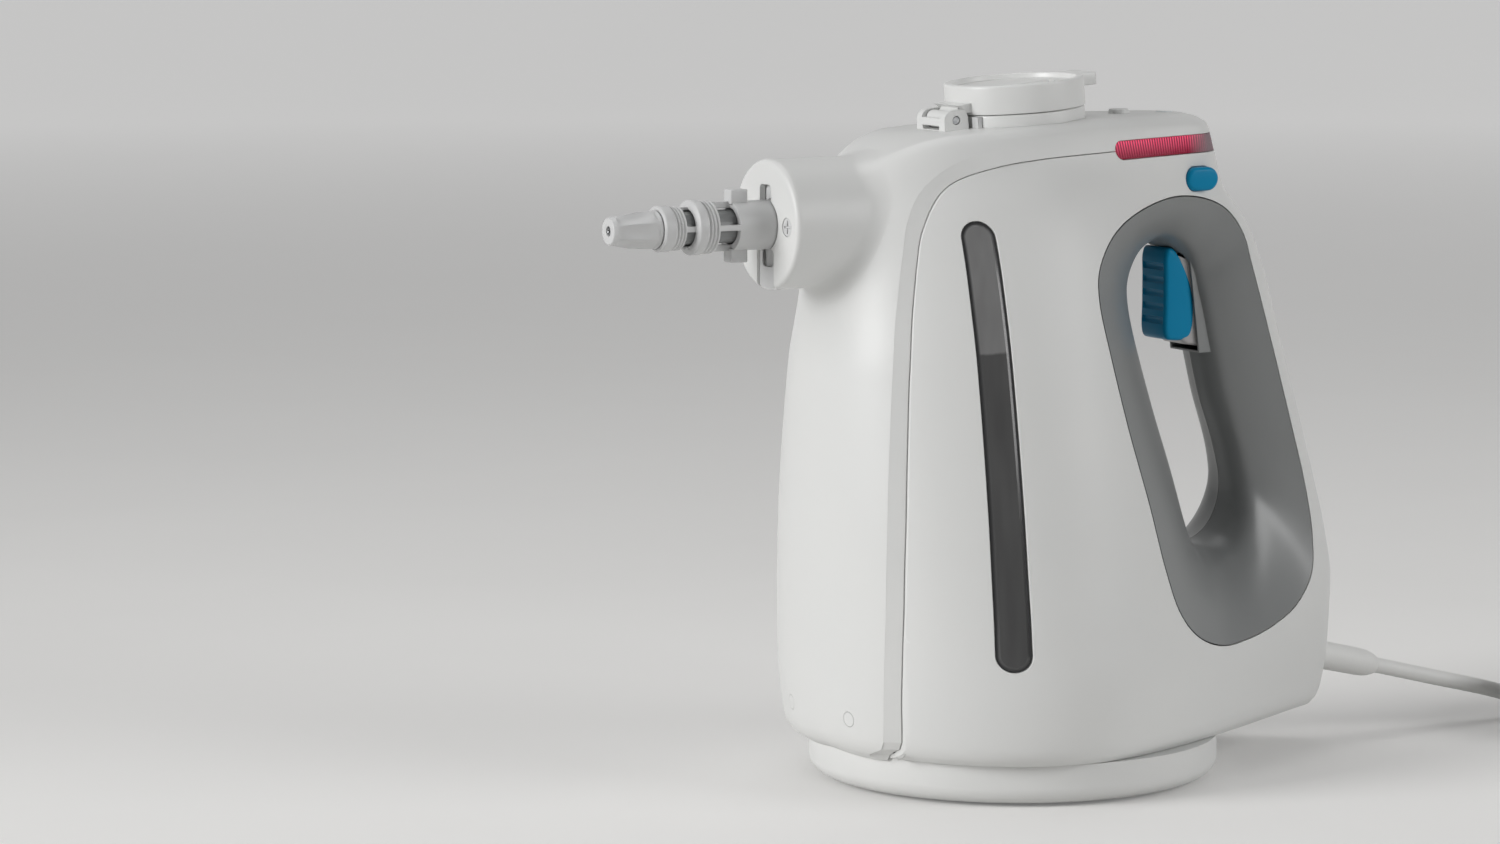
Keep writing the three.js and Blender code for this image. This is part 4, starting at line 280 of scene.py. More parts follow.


# Clear red polycarbonate over lamps: lit from within, with painted highlights pink on its rib crests, painted
# shade in the valleys and towards the band's foot, smoky grey where the lamps end.
def litLens():
    material, tree, shader = newMaterial("litRedPolycarbonate")
    crest = addNode(tree, "ShaderNodeAttribute", attribute_name="crest")
    unlit = addNode(tree, "ShaderNodeAttribute", attribute_name="unlit")
    rise = addNode(tree, "ShaderNodeAttribute", attribute_name="rise")
    # painted shade: the band darkens towards its foot, and the rib crests get a painted highlight
    height = addNode(tree, "ShaderNodeMapRange", {
        "Value": rise.outputs["Fac"], "From Min": -1.0, "From Max": 0.8, "To Min": 0.2})
    crestHighlight = addNode(tree, "ShaderNodeMath", {
        0: crest.outputs["Fac"], 1: height.outputs[0]}, operation="MULTIPLY")
    crestHighlight = addNode(tree, "ShaderNodeMath", {
        0: crestHighlight.outputs[0], 1: lensLook["sharpness"]}, operation="POWER")
    glow = addNode(tree, "ShaderNodeMix", {"Factor": crestHighlight.outputs[0]}, data_type="RGBA")
    glow.inputs[6].default_value = hexColour(lensLook["valleyShade"])
    glow.inputs[7].default_value = hexColour(lensLook["crest"])
    body = addNode(tree, "ShaderNodeMix", {"Factor": unlit.outputs["Fac"]}, data_type="RGBA")
    tree.links.new(glow.outputs[2], body.inputs[6])
    body.inputs[7].default_value = hexColour(lensLook["unlit"])
    power = addNode(tree, "ShaderNodeMapRange", {
        "Value": unlit.outputs["Fac"], "To Min": lensLook["power"], "To Max": 0.0})
    tree.links.new(body.outputs[2], shader.inputs["Base Color"])
    tree.links.new(body.outputs[2], shader.inputs["Emission Color"])
    tree.links.new(power.outputs[0], shader.inputs["Emission Strength"])
    shader.inputs["Roughness"].default_value = 0.22
    shader.inputs["IOR"].default_value = 1.58
    shader.inputs["Specular IOR Level"].default_value = 0.1
    return material


redPolycarbonate = litLens()
print("materials made")

# outlines drawn in the side view are run along Y
sideways = Matrix(((1, 0, 0, 0), (0, 0, 1, 0), (0, 1, 0, 0), (0, 0, 0, 1)))
nozzleHeight = 231.9
# in the nozzle's own frame Z is ahead and X is up
nozzleFrame = Matrix(((0, 0, -1, 0), (0, 1, 0, 0), (1, 0, 0, nozzleHeight), (0, 0, 0, 1)))
lidFrame = Matrix.Translation((0, 0, 269.3)) @ Matrix.Rotation(math.radians(-4.2), 4, "Y")
glandFrame = Matrix.Translation((183.5, 0, 29.4)) @ Matrix.Rotation(math.radians(103.5), 4, "Y")


def placed(points, matrix):
    matrix = np.array(matrix)
    return np.asarray(points, float) @ matrix[:3, :3].T + matrix[:3, 3]


def rounded(points, radius, steps=5, closed=True):  # outline with its corners turned into short curves
    out, count = [], len(points)
    radii = radius if hasattr(radius, "__len__") else [radius] * count
    for i, size in enumerate(radii):
        p = np.array(points[i], float)
        if size == 0 or (not closed and i in (0, count - 1)):
            out.append(p)
            continue
        a, b = np.array(points[i - 1], float) - p, np.array(points[(i + 1) % count], float) - p
        la, lb = np.linalg.norm(a), np.linalg.norm(b)
        a, b = a / la, b / lb
        angle = math.acos(max(-1, min(1, float(a @ b))))
        reach = min(size / math.tan(angle / 2), 0.49 * la, 0.49 * lb)
        for k in range(steps + 1):
            t = k / steps
            out.append((1 - t) ** 2 * (p + a * reach) + 2 * t * (1 - t) * p + t * t * (p + b * reach))
    return np.array(out)


def grown(outline, distance):  # outline pushed out by a distance, or in by a negative one
    outline = np.array(outline, float)
    ahead = np.roll(outline, -1, 0) - outline
    ahead /= np.linalg.norm(ahead, axis=1)[:, None]
    behind = np.roll(ahead, 1, 0)
    x, y = outline[:, 0], outline[:, 1]
    turn = np.sign(np.sum(x * np.roll(y, -1) - np.roll(x, -1) * y))
    n1 = turn * np.stack([behind[:, 1], -behind[:, 0]], 1)
    n2 = turn * np.stack([ahead[:, 1], -ahead[:, 0]], 1)
    share = np.maximum(0.35, 1 + np.sum(n1 * n2, axis=1))[:, None]
    return outline + (n1 + n2) / share * distance


def loft(rings, closed=False, caps=True):  # skin over rings of as many points each
    count, total = len(rings[0]), len(rings)
    faces = []
    for i in range(total if closed else total - 1):
        a, b = i * count, (i + 1) % total * count
        faces += [(a + j, a + (j + 1) % count, b + (j + 1) % count, b + j) for j in range(count)]
    if caps and not closed:
        faces += [tuple(range(count)), tuple(range((total - 1) * count, total * count))]
    return np.concatenate(rings), faces


def turned(profile, matrix=None, segments=96, closed=False):  # radius and height pairs, turned on a lathe
    angles = np.linspace(0, 2 * math.pi, segments, endpoint=False)
    ring = np.stack([np.cos(angles), np.sin(angles)], 1)
    rings = [np.column_stack([ring * r, np.full(segments, z)]) for r, z in profile]
    points, faces = loft(rings, closed, caps=False)
    return (points if matrix is None else placed(points, matrix)), faces


def prism(outline, low, high, edge=0.0, matrix=None, steps=4):  # outline with depth, and its edges rounded
    rings = []
    for side, end in ((-1, low), (1, high)):
        half = []
        for k in range(steps + 1 if edge else 1):
            angle = math.pi / 2 * k / steps if edge else math.pi / 2
            inset = edge * (1 - math.sin(angle))
            half.append((grown(outline, -inset), end - side * edge * (1 - math.cos(angle))))
        rings += half if side < 0 else half[::-1]
    points, faces = loft([np.column_stack([outlineAt, np.full(len(outlineAt), z)]) for outlineAt, z in rings])
    return (points if matrix is None else placed(points, matrix)), faces


def disc(radius, low, high, edge=0.0, matrix=None, segments=64):
    profile = [(0, low), (radius, low), (radius, high), (0, high)]
    return turned(rounded(profile, edge, 5, closed=False) if edge else profile, matrix, segments)


def box(low, high, edge=0.0, matrix=None):
    outline = [(low[0], low[1]), (high[0], low[1]), (high[0], high[1]), (low[0], high[1])]
    return prism(rounded(outline, edge) if edge else outline, low[2], high[2], edge * 0.8, matrix)


def merged(*shapes):
    points, faces, start = [], [], 0
    for shapePoints, shapeFaces in shapes:
        points.append(np.asarray(shapePoints, float))
        faces += [tuple(start + i for i in face) for face in shapeFaces]
        start += len(shapePoints)
    return np.concatenate(points), faces


def meshOf(name, shape):
    points, faces = shape
    mesh = bpy.data.meshes.new(name)
    mesh.from_pydata([tuple(p) for p in (np.asarray(points, float) + axisPlace) * mm], [], faces)
    tidy = bmesh.new()
    tidy.from_mesh(mesh)
    bmesh.ops.remove_doubles(tidy, verts=tidy.verts, dist=1e-6)
    bmesh.ops.recalc_face_normals(tidy, faces=tidy.faces)
    tidy.to_mesh(mesh)
    tidy.free()
    obj = bpy.data.objects.new(name, mesh)
    bpy.context.scene.collection.objects.link(obj)
    return obj


def carved(obj, *steps):  # booleans, each a way and a shape, done at once
    tools = []
    for how, shape in steps:
        tool = shape if isinstance(shape, bpy.types.Object) else meshOf("tool", shape)
        cutter = obj.modifiers.new("cut", "BOOLEAN")
        cutter.operation, cutter.solver, cutter.object = how, "MANIFOLD", tool
        tools.append(tool)
    result = bpy.data.meshes.new_from_object(obj.evaluated_get(bpy.context.evaluated_depsgraph_get()))
    obj.modifiers.clear()
    obj.data = result
    for tool in set(tools):
        bpy.data.objects.remove(tool)
    return obj


def finished(obj, material, body="body", replaces=(), sharpAt=32):
    obj.data.materials.clear()
    obj.data.materials.append(material)
    obj.data.shade_smooth()
    obj.data.set_sharp_from_angle(angle=math.radians(sharpAt))
    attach(obj, body)
    if replaces:
        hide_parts(*replaces)
    return obj


def piece(name, shape, material, body="body", replaces=(), sharpAt=32):
    return finished(meshOf(name, shape), material, body, replaces, sharpAt)


def monotone(x, knots, values):  # smooth curve through a table that doesn't overshoot it
    knots, values = np.asarray(knots, float), np.asarray(values, float)
    steps = np.diff(knots)[:, None]
    slopes = np.diff(values, axis=0) / steps
    tangent = np.zeros_like(values)
    same = slopes[:-1] * slopes[1:] > 0
    both = np.where(same, slopes[:-1] + slopes[1:], 1)
    tangent[1:-1] = np.where(same, 2 * slopes[:-1] * slopes[1:] / both, 0)
    tangent[0], tangent[-1] = slopes[0], slopes[-1]
    i = np.clip(np.searchsorted(knots, x) - 1, 0, len(knots) - 2)
    t = ((np.asarray(x, float) - knots[i]) / steps[i, 0])[..., None]
    h = steps[i]
    return ((1 + 2 * t) * (1 - t) ** 2 * values[i] + t * (1 - t) ** 2 * h * tangent[i]
            + t * t * (3 - 2 * t) * values[i + 1] + t * t * (t - 1) * h * tangent[i + 1])


def throughPoints(points, closed, count):  # centripetal spline, in equal steps along its length
    points = [np.array(p, float) for p in points]
    if closed:
        points = [points[-1]] + points + points[:2]
    else:
        points = [2 * points[0] - points[1]] + points + [2 * points[-1] - points[-2]]
    dense = []
    for p0, p1, p2, p3 in zip(points, points[1:], points[2:], points[3:]):
        t = [0]
        for a, b in ((p0, p1), (p1, p2), (p2, p3)):
            t.append(t[-1] + np.linalg.norm(b - a) ** 0.5)
        for s in np.linspace(t[1], t[2], 24, endpoint=False):
            a1 = ((t[1] - s) * p0 + (s - t[0]) * p1) / (t[1] - t[0])
            a2 = ((t[2] - s) * p1 + (s - t[1]) * p2) / (t[2] - t[1])
            a3 = ((t[3] - s) * p2 + (s - t[2]) * p3) / (t[3] - t[2])
            b1 = ((t[2] - s) * a1 + (s - t[0]) * a2) / (t[2] - t[0])
            b2 = ((t[3] - s) * a2 + (s - t[1]) * a3) / (t[3] - t[1])
            dense.append(((t[2] - s) * b1 + (s - t[1]) * b2) / (t[2] - t[1]))
    dense = np.array(dense + [points[-2]])
    far = np.concatenate([[0], np.cumsum(np.linalg.norm(np.diff(dense, axis=0), axis=1))])
    wanted = np.linspace(0, far[-1], count, endpoint=not closed)
    return np.stack([np.interp(wanted, far, dense[:, k]) for k in range(dense.shape[1])], 1)


# cord: out of the gland, down to the floor, round in the put-away coil and into the plug
cordSetup = {
    "radius": 3.4, "floor": 4.4, "coilX": 290, "coilRadius": 49.5, "pitch": 7.3, "layers": 4, "turns": 3,
    "perTurn": 48,
    "lead": [(200, 25.3), (215, 21.5), (230, 17.8), (241, 15), (252, 11.9), (262, 8.6), (271, 6), (277, 4.4)],
    "tail": (14, 48, 55), "plugHeight": 18.6,
}


def cordRoute():
    c = cordSetup
    tip = placed([(0, 0, -1.5), (0, 0, 0.3), (0, 0, 2 * c["radius"])], glandFrame)
    lead = [*tip, *[(x, 0, z) for x, z in c["lead"]]]
    lead += [(c["coilX"] - 2 * c["radius"], 0, c["floor"]), (c["coilX"] - c["radius"], 0, c["floor"])]
    points = list(throughPoints(lead, False, 40))
    wind, count = c["turns"], c["turns"] * c["layers"]
    for i in range(count * c["perTurn"] + 1):
        turn = i / c["perTurn"]
        phase = turn % (2 * wind)
        radius = c["coilRadius"] - c["pitch"] * (phase if phase < wind else 2 * wind - phase)
        nearest = round(turn / wind)
        climb = min(1, max(0, (turn - nearest * wind) * 2 + 0.5))
        smooth = climb * climb * (3 - 2 * climb)
        layer = turn // wind if nearest < 1 or nearest >= c["layers"] else nearest - 1 + smooth
        angle = math.pi / 2 - turn * 2 * math.pi
        points.append((c["coilX"] + radius * math.cos(angle), radius * math.sin(angle) - c["coilRadius"],
                       c["floor"] + min(layer, c["layers"] - 1) * c["pitch"]))
    high = points[-1][2]
    straight, descent, end = c["tail"]
    for i in range(13):
        t = i / 12
        across = c["coilX"] + straight + (descent - straight) * t
        points.append((across, 0, high + (c["plugHeight"] - high) * t * t * (3 - 2 * t)))
    points.append((c["coilX"] + end, 0, c["plugHeight"]))
    return np.array(points)


route = cordRoute()
cordCurve = bpy.data.curves.new("mainsCord", "CURVE")
cordCurve.dimensions = "3D"
cordCurve.bevel_depth = cordSetup["radius"] * mm
cordCurve.bevel_resolution = 5
cordCurve.use_fill_caps = True
line = cordCurve.splines.new("POLY")
line.points.add(len(route) - 1)
for point, place in zip(line.points, (route + axisPlace) * mm):
    point.co = (*place, 1)
line.use_smooth = True
cordObject = bpy.data.objects.new("mainsCord", cordCurve)
bpy.context.scene.collection.objects.link(cordObject)
cordObject.data.materials.append(whitePvc)
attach(cordObject, "body")
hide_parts("cord_lead", "cord_coil")

glandProfile = rounded([
    (0, -40), (7.6, -40), (7.6, -37.5), (6.1, -37.5), (5.95, -9), (5.75, -6), (5.2, -3.4), (4.5, -1.4),
    (3.75, 0), (0, 0)], [0, 0.5, 0.5, 0.6, 1, 1, 0.8, 0.5, 0.4, 0], 3, closed=False)
gland = piece("cordGland", turned(glandProfile, glandFrame, 48), whitePvc, replaces=["cord_gland"])

plugSetup = {
    "x": 345.3, "radius": 18.6, "relief": 22, "body": 33, "pin": 19, "pinRadius": 2.4, "pinOffset": 9.5,
}


def plugShape():
    p = plugSetup
    seat = Matrix.Translation((p["x"], 0, p["radius"])) @ Matrix.Rotation(math.pi / 2, 4, "Y")
    profile = [(0, 0), (3.7, 0)]
    for i in range(6):  # ribs of the bend relief
        z = 2.5 + i * 3.4
        grow = 3.7 + 1.7 * z / p["relief"]
        profile += [(grow + 0.5, z), (grow + 0.5, z + 1.9), (grow - 0.5, z + 2.1), (grow - 0.5, z + 3.2)]
    r, start, end = p["radius"], p["relief"], p["relief"] + p["body"]
    profile += [(5.4, start), (r * 0.6, start), (r * 0.85, start + 5), (r * 0.93, start + 13),
                (r * 0.9, start + 19), (r, start + 24), (r, end - 1), (r - 1, end), (r - 4, end),
                (r - 5, end - 0.6), (0, end - 0.6)]
    return turned(rounded(profile, 0.35, 2, closed=False), seat, 72), seat, end


plugBody, plugFrame, plugFace = plugShape()
plug = piece("cordPlug", plugBody, whitePvc, replaces=["cord_plug"])
pinProfile = [(0, -2), (plugSetup["pinRadius"], -2), (plugSetup["pinRadius"], plugSetup["pin"] - 1.2),
              (plugSetup["pinRadius"] / 2, plugSetup["pin"]), (0, plugSetup["pin"])]
pinShapes = []
for side in (-1, 1):
    seat = plugFrame @ Matrix.Translation((0, side * plugSetup["pinOffset"], plugFace))
    pinShapes.append(turned(rounded(pinProfile, 0.5, 3, closed=False), seat, 32))
plugPins = piece("cordPlugPins", merged(*pinShapes), platedBrass)

# strap round the coil's far side, its loop measured from the coil's middle
tieSetup = {
    "halfWidth": 5, "thickness": 0.7, "inner": 26.85, "outer": 50.25, "bottom": 0.7, "top": 30.0,
    "corner": 3.4,
}


def tieShape():
    t = tieSetup
    low, high = t["bottom"], t["top"]
    inside = [(-t["outer"], low), (-t["inner"], low), (-t["inner"], high), (-t["outer"], high)]
    inside = rounded(inside, t["corner"], 6)
    outside = grown(inside, t["thickness"])
    near, far = cordSetup["coilX"] - t["halfWidth"], cordSetup["coilX"] + t["halfWidth"]
    rings = []
    for outline, x in ((outside, near), (outside, far), (inside, far), (inside, near)):
        rings.append(np.array([(x, y - cordSetup["coilRadius"], z) for y, z in outline]))
    return loft(rings, closed=True)


strap = piece("cordTie", tieShape(), blackRubber, replaces=["cord_tie"])

# body skin: plans at rising heights, as shares of front reach, half width, rear reach and strip width
bodySetup = {
    "height": 271.5, "seam": 18, "front": 98, "rear": 155.5, "halfWidth": 91.5, "strip": 24, "widestX": -15,
    "spineStart": 18, "spineSlope": 4.2, "noseStart": -45, "noseDrop": 25, "baseOpening": 77.9, "wall": 2.4,
    "gap": 0.3,
}
levelTable = np.array([
    [0, 0.872, 0.921, 0.945, 0.625], [0.012, 0.918, 0.962, 0.961, 0.729], [0.032, 0.944, 0.984, 0.974, 0.792],
    [0.107, 0.969, 1, 0.993, 0.833], [0.213, 0.985, 0.969, 1, 0.833], [0.292, 0.993, 0.934, 0.979, 0.833],
    [0.402, 1, 0.885, 0.93, 0.833], [0.639, 0.985, 0.76, 0.814, 0.833], [0.75, 0.954, 0.683, 0.758, 0.833],
    [0.817, 0.949, 0.623, 0.707, 0.854], [0.88, 0.949, 0.546, 0.625, 0.917],
    [0.935, 0.944, 0.447, 0.595, 0.979], [0.982, 0.898, 0.385, 0.569, 0.938],
    [0.994, 0.857, 0.355, 0.54, 0.792], [1, 0.806, 0.322, 0.502, 0.625]])
tall, seam, wall, gap = (bodySetup[k] for k in ("height", "seam", "wall", "gap"))
arcSteps, sideSteps, cornerSteps = 44, 44, 16


def planAt(height, inset=0.0):
    share = min(1, max(0, (height - seam) / (tall - seam)))
    shares = monotone(np.array(share), levelTable[:, 0], levelTable[:, 1:])
    front, width, rear, strip = shares * [bodySetup[k] for k in ("front", "halfWidth", "rear", "strip")]
    widest = bodySetup["widestX"]
    angle = np.linspace(0, math.pi / 2, arcSteps, endpoint=False)
    arc = np.stack([widest - (front + widest) * np.cos(angle), width * np.sin(angle)], 1)
    corner = 0.7 * strip
    start, end = np.array([widest, width]), np.array([rear - corner, strip])
    run = end[0] - start[0]
    early = np.array([start[0] + 0.25 * run, width])
    late = np.array([end[0] - 0.3 * run, strip + 0.36 * (width - strip)])
    ahead = (end - late) / np.linalg.norm(end - late) * corner / 2 + end

    def bend(p, t):
        t = t[:, None]
        return (1 - t) ** 3 * p[0] + 3 * t * (1 - t) ** 2 * p[1] + 3 * t * t * (1 - t) * p[2] + t ** 3 * p[3]

    side = bend((start, early, late, end), np.linspace(0, 1, sideSteps, endpoint=False))
    corner = (end, ahead, np.array([rear, 0.55 * strip]), np.array([rear, 0.0]))
    turn = bend(corner, np.linspace(0, 1, cornerSteps + 1))
    half = np.concatenate([arc, side, turn])
    half[0, 1] = 0
    if inset:
        flip = np.array([1, -1])
        wide = np.concatenate([[half[1] * flip], half, [half[-2] * flip]])
        along = wide[2:] - wide[:-2]
        along /= np.linalg.norm(along, axis=1)[:, None]
        half = half + np.stack([along[:, 1], -along[:, 0]], 1) * inset
        half[0, 1] = half[-1, 1] = 0
    return half


def spineDrop(x):  # how far the top slopes down ahead of the lid
    b = bodySetup
    curl = np.maximum(0, b["noseStart"] - x) / (b["noseStart"] + b["front"])
    slope = math.tan(math.radians(b["spineSlope"]))
    return np.maximum(0, b["spineStart"] - x) * slope + b["noseDrop"] * curl ** 2


def skinRing(height, inset, planInset=None):  # one level of the skin, sloped like the top
    half = planAt(height, inset if planInset is None else planInset)
    full = np.concatenate([half, half[-2:0:-1] * [1, -1]])
    share = height / tall
    z = height - inset * share ** 6 - spineDrop(full[:, 0]) * share ** 3
    return np.column_stack([full, z])


def skinHeights(start, step):
    marks = seam + levelTable[:, 0] * (tall - seam)
    heights = [start]
    for low, high in zip(marks, marks[1:]):
        count = max(3 if step < 4 else 1, math.ceil((high - low) / step))
        heights += [h for h in np.linspace(low, high, count + 1)[1:] if h > start + 0.5]
    return heights


def cappedSkin(rings):  # closed at both ends by strips of four-sided faces
    points, faces = loft(rings, caps=False)
    count, half = len(rings[0]), len(rings[0]) // 2 + 1
    for start in (0, (len(rings) - 1) * count):
        for i in range(half - 1):
            corners = [i, i + 1, (count - i - 1) % count, (count - i) % count]
            faces.append(tuple(start + c for c in dict.fromkeys(corners)))
    return points, faces


def skinHalfWidth(x, z):  # how far the skin stands out at a spot of the side view
    height = z
    for _ in range(3):
        height = min(tall, z + float(spineDrop(np.array(x))) * (height / tall) ** 3)
    half = planAt(height)
    return float(np.interp(x, half[:, 0], half[:, 1]))


# parting line between the front shell and the side shells, as shares of the front reach and the height
sideScale = [bodySetup["front"], tall]
seamTable = np.array([
    (-0.801, 0.05), (-0.812, 0.073), (-0.822, 0.097), (-0.837, 0.165), (-0.833, 0.311), (-0.818, 0.458),
    (-0.793, 0.603), (-0.773, 0.676), (-0.745, 0.748), (-0.719, 0.803), (-0.695, 0.838), (-0.642, 0.876),
    (-0.545, 0.912), (-0.332, 0.936), (-0.132, 0.945), (0.075, 0.949), (0.245, 0.951)]) * sideScale
seamLine = throughPoints(seamTable, False, 110)
# the soft edge ahead of it, from which the skin steps down to the parting line
creaseTable = np.array([
    (-0.836, 0.045), (-0.848, 0.071), (-0.86, 0.092), (-0.876, 0.165), (-0.876, 0.309), (-0.866, 0.456),
    (-0.84, 0.602), (-0.82, 0.675), (-0.791, 0.747), (-0.76, 0.812), (-0.729, 0.858), (-0.663, 0.9),
    (-0.576, 0.928), (-0.478, 0.947), (-0.312, 0.967), (-0.16, 0.974), (0.02, 0.977)]) * sideScale
creaseLine = throughPoints(creaseTable, False, 90)
creaseSetup = {
    "slope": 0.34, "reach": 15, "sink": 0.04, "rise": 7,  # wedge behind the crease
    "lift": 1.5, "spread": 42,  # rise of the skin at the crease, and how far ahead of it that starts
    "fadeFrom": 0.72,  # share of its length after which the crease runs out
    "level": 26,  # below this the skin's foot is rounded over, and the wedge stays upright on it
    "sharp": 2.5,  # edges this near to the crease stay sharp
}
lensSetup = {"startX": 26.8, "height": 258.6, "half": 3.6, "slope": 1.2, "inset": 0.2, "tail": 128.7}


def skinSpot(x, z):  # point on the seen half of the skin, and the way out of it
    y = skinHalfWidth(x, z)
    onX = skinHalfWidth(x + 0.5, z) - skinHalfWidth(x - 0.5, z)
    onZ = skinHalfWidth(x, z + 0.5) - skinHalfWidth(x, z - 0.5)
    out = np.array([-onX, 1, -onZ])
    return np.array([x, y, z]), out / np.linalg.norm(out)


def creaseSpots():  # along the crease: place, way out, way on, and how much of it is left
    fadeFrom, last = creaseSetup["fadeFrom"], len(creaseLine) - 1
    ahead = np.gradient(creaseLine, axis=0)
    ahead /= np.linalg.norm(ahead, axis=1)[:, None]
    spots = []
    for i, ((x, z), (dx, dz)) in enumerate(zip(creaseLine, ahead)):
        gone = min(1, max(0, (i / last - fadeFrom) / (1 - fadeFrom)))
        place, out = skinSpot(x, z)
        if z < creaseSetup["level"]:
            out = np.array([out[0], out[1], 0]) / np.hypot(out[0], out[1])
        spots.append((place, out, np.array([dx, 0, dz]), 1 - gone * gone * (3 - 2 * gone)))
    return spots


creaseCourse = creaseSpots()


def creaseBand(side):  # wedge that lowers the skin behind the crease
    c = creaseSetup
    rings = []
    for place, out, way, left in creaseCourse:
        back = np.cross(way - out * (out @ way), out)
        back /= np.linalg.norm(back)
        back = back if back @ [way[2], 0, -way[0]] > 0 else -back
        start = place + out * (left * c["lift"] + (1 - left) * 0.3 - c["sink"])
        far = start + c["reach"] * back
        drop = out * c["slope"] * left * c["reach"]
        ring = [start, far - drop, far + out * c["rise"], start + out * c["rise"] - back * 0.2]
        rings.append(np.array(ring) * [1, side, 1])
    return loft(rings)


plainSkin = [skinRing(h, 0) for h in skinHeights(seam, 2.6)]
plainSkin = [skinRing(seam, 0, 0.9), *plainSkin, skinRing(tall, 0, 0.9)]


def liftedSkin():  # front skin, full up to the crease
    c = creaseSetup
    grid = np.array(plainSkin)
    normal = np.cross(np.roll(grid, -1, 1) - np.roll(grid, 1, 1), np.gradient(grid, axis=0))
    normal /= np.maximum(1e-9, np.linalg.norm(normal, axis=2))[..., None]
    middle = len(grid) // 2
    normal *= np.sign(np.sum(normal[middle] * (grid[middle] - [0, 0, 130]), axis=1)).mean()
    places = np.array([spot[0] for spot in creaseCourse])
    left = np.array([spot[3] for spot in creaseCourse])
    folded = np.abs(grid) * [0, 1, 0] + grid * [1, 0, 1]
    away = np.linalg.norm(folded[:, :, None] - places, axis=3)
    near = away.argmin(axis=2)
    reach = np.clip(1 - away.min(axis=2) / c["spread"], 0, 1)
    lift = c["lift"] * left[near] * reach * reach * (3 - 2 * reach)
    lift[-2:] = 0
    return list(grid + normal * lift[..., None])


lid = {
    "radius": 28.7, "bottom": 6, "top": 17.8, "dish": 25.4, "depth": 2.2, "plate": 2, "skirt": 21.3,
    "skirtBottom": 1.5, "tabReach": 34.5, "tabHalf": 9.5, "tabThick": 5.2, "barY": -12, "barHalf": 9,
    "barHeight": 1, "studX": 13,
}
neck = {"radius": 28.4, "bore": 22, "top": 5.7, "shoulder": -5, "lower": 24.2, "bottom": -31}
barrel = {
    "radius": 26.2, "face": 117.5, "edge": 2.5, "faceWall": 2.5, "root": 58,
    "slot": 4.5, "slotUp": 16, "slotDown": 17, "slotCorner": 2.2,  # keyhole
    "grooveHalf": 6.8, "grooveTop": 9.5, "grooveEnd": 30.2, "grooveDepth": 1.7, "grooveCorner": 3,  # below it
    "recess": 3.8, "recessY": -17.5, "recessDepth": 1.2,  # round recess beside it
}
tubeRadius = 9.9
deckButton = {"x": 50.1, "radius": 4.3, "bottom": 262.3, "top": 273.5, "dish": 0.3}
deckLamp = {"x": 72.5, "radius": 3.5, "bottom": 265.5, "rim": 271.75, "top": 271.9}
glandHole = 6.25


def stadium(x0, x1, z, radius, steps=14):  # a bar with round ends in the side view
    angle = np.linspace(-math.pi / 2, math.pi / 2, steps)
    right = np.stack([x1 + radius * np.cos(angle), z + radius * np.sin(angle)], 1)
    left = np.stack([x0 - radius * np.cos(angle), z - radius * np.sin(angle)], 1)
    return np.concatenate([right, left])


def rearRegion(margin):  # everything behind the parting line and below the lens
    s = lensSetup
    start, end = s["startX"] + s["half"], bodySetup["rear"] + 2
    high = s["height"] + s["tail"] * math.tan(math.radians(s["slope"]))
    tailPoints = [(start, s["height"]), (end, high), (end, seamTable[0][1])]
    return grown(np.concatenate([seamLine, tailPoints]), margin)


def lensRegion(margin):
    s = lensSetup
    slope, radius = math.radians(s["slope"]), s["half"] + margin
    centre = np.array([s["startX"] + s["half"], s["height"]])
    angle = math.pi / 2 + slope + np.linspace(0, math.pi, 17)
    cap = centre + radius * np.stack([np.cos(angle), np.sin(angle)], 1)
    length = bodySetup["rear"] - centre[0]
    shift = np.array([length, length * math.tan(slope)])
    return np.concatenate([cap, [cap[-1] + shift, cap[0] + shift]])


def windowRegion(margin):
    w = windowLook
    angle = np.linspace(0, math.pi, 17)
    radius = w["radius"] + margin
    across, up = radius * np.cos(angle), radius * np.sin(angle)
    top = np.stack([w["axisX"][1] + across, w["top"] - w["radius"] + up], 1)
    low = np.stack([w["axisX"][0] - across, w["bottom"] + w["radius"] - up], 1)
    return np.concatenate([top, low])


lock = {"x": 73.5, "z": 245.1, "halfLength": 7.8, "halfHeight": 4.9, "proud": 3.9, "sink": 0.7}


def lockRegion(margin):
    flat = lock["halfLength"] - lock["halfHeight"]
    return stadium(lock["x"] - flat, lock["x"] + flat, lock["z"], lock["halfHeight"] + margin)


# handle insert: outline on the body's side and throat in the middle plane, as shares of two boxes
insert = {
    "x": 1.2, "length": 133.8, "z": 56.6, "height": 181.8,
    "throatX": 47, "throatLength": 55, "throatZ": 91.2, "throatHeight": 126.6,
    "wideFrom": 55, "wall": 2, "count": 176,
}
outlineTable = [
    (0.453, 1), (0.225, 0.972), (0.095, 0.925), (0.016, 0.855), (0, 0.79), (0.022, 0.664), (0.065, 0.509),
    (0.126, 0.344), (0.179, 0.193), (0.229, 0.1), (0.311, 0.039), (0.439, 0.003), (0.581, 0), (0.762, 0.016),
    (0.9, 0.049), (0.985, 0.108), (1, 0.19), (0.974, 0.319), (0.927, 0.442), (0.841, 0.654), (0.764, 0.832),
    (0.732, 0.905), (0.648, 0.968)]
throatTable = [
    (0.27, 1), (0.07, 0.958), (0, 0.857), (0.05, 0.71), (0.19, 0.486), (0.345, 0.286), (0.5, 0.077),
    (0.6, 0.015), (0.727, 0), (0.873, 0.035), (0.975, 0.108), (1, 0.19), (0.936, 0.317), (0.8, 0.486),
    (0.71, 0.641), (0.61, 0.826), (0.5, 0.95)]
# from outline to throat: share of the way in the side view, then of the half width where the grip is wide
# and where it is narrow
flareTable = np.array([
    (0, 1, 1), (0.35, 0.78, 0.9), (0.62, 0.58, 0.78), (0.82, 0.4, 0.63), (0.95, 0.2, 0.34), (1, 0, 0)])
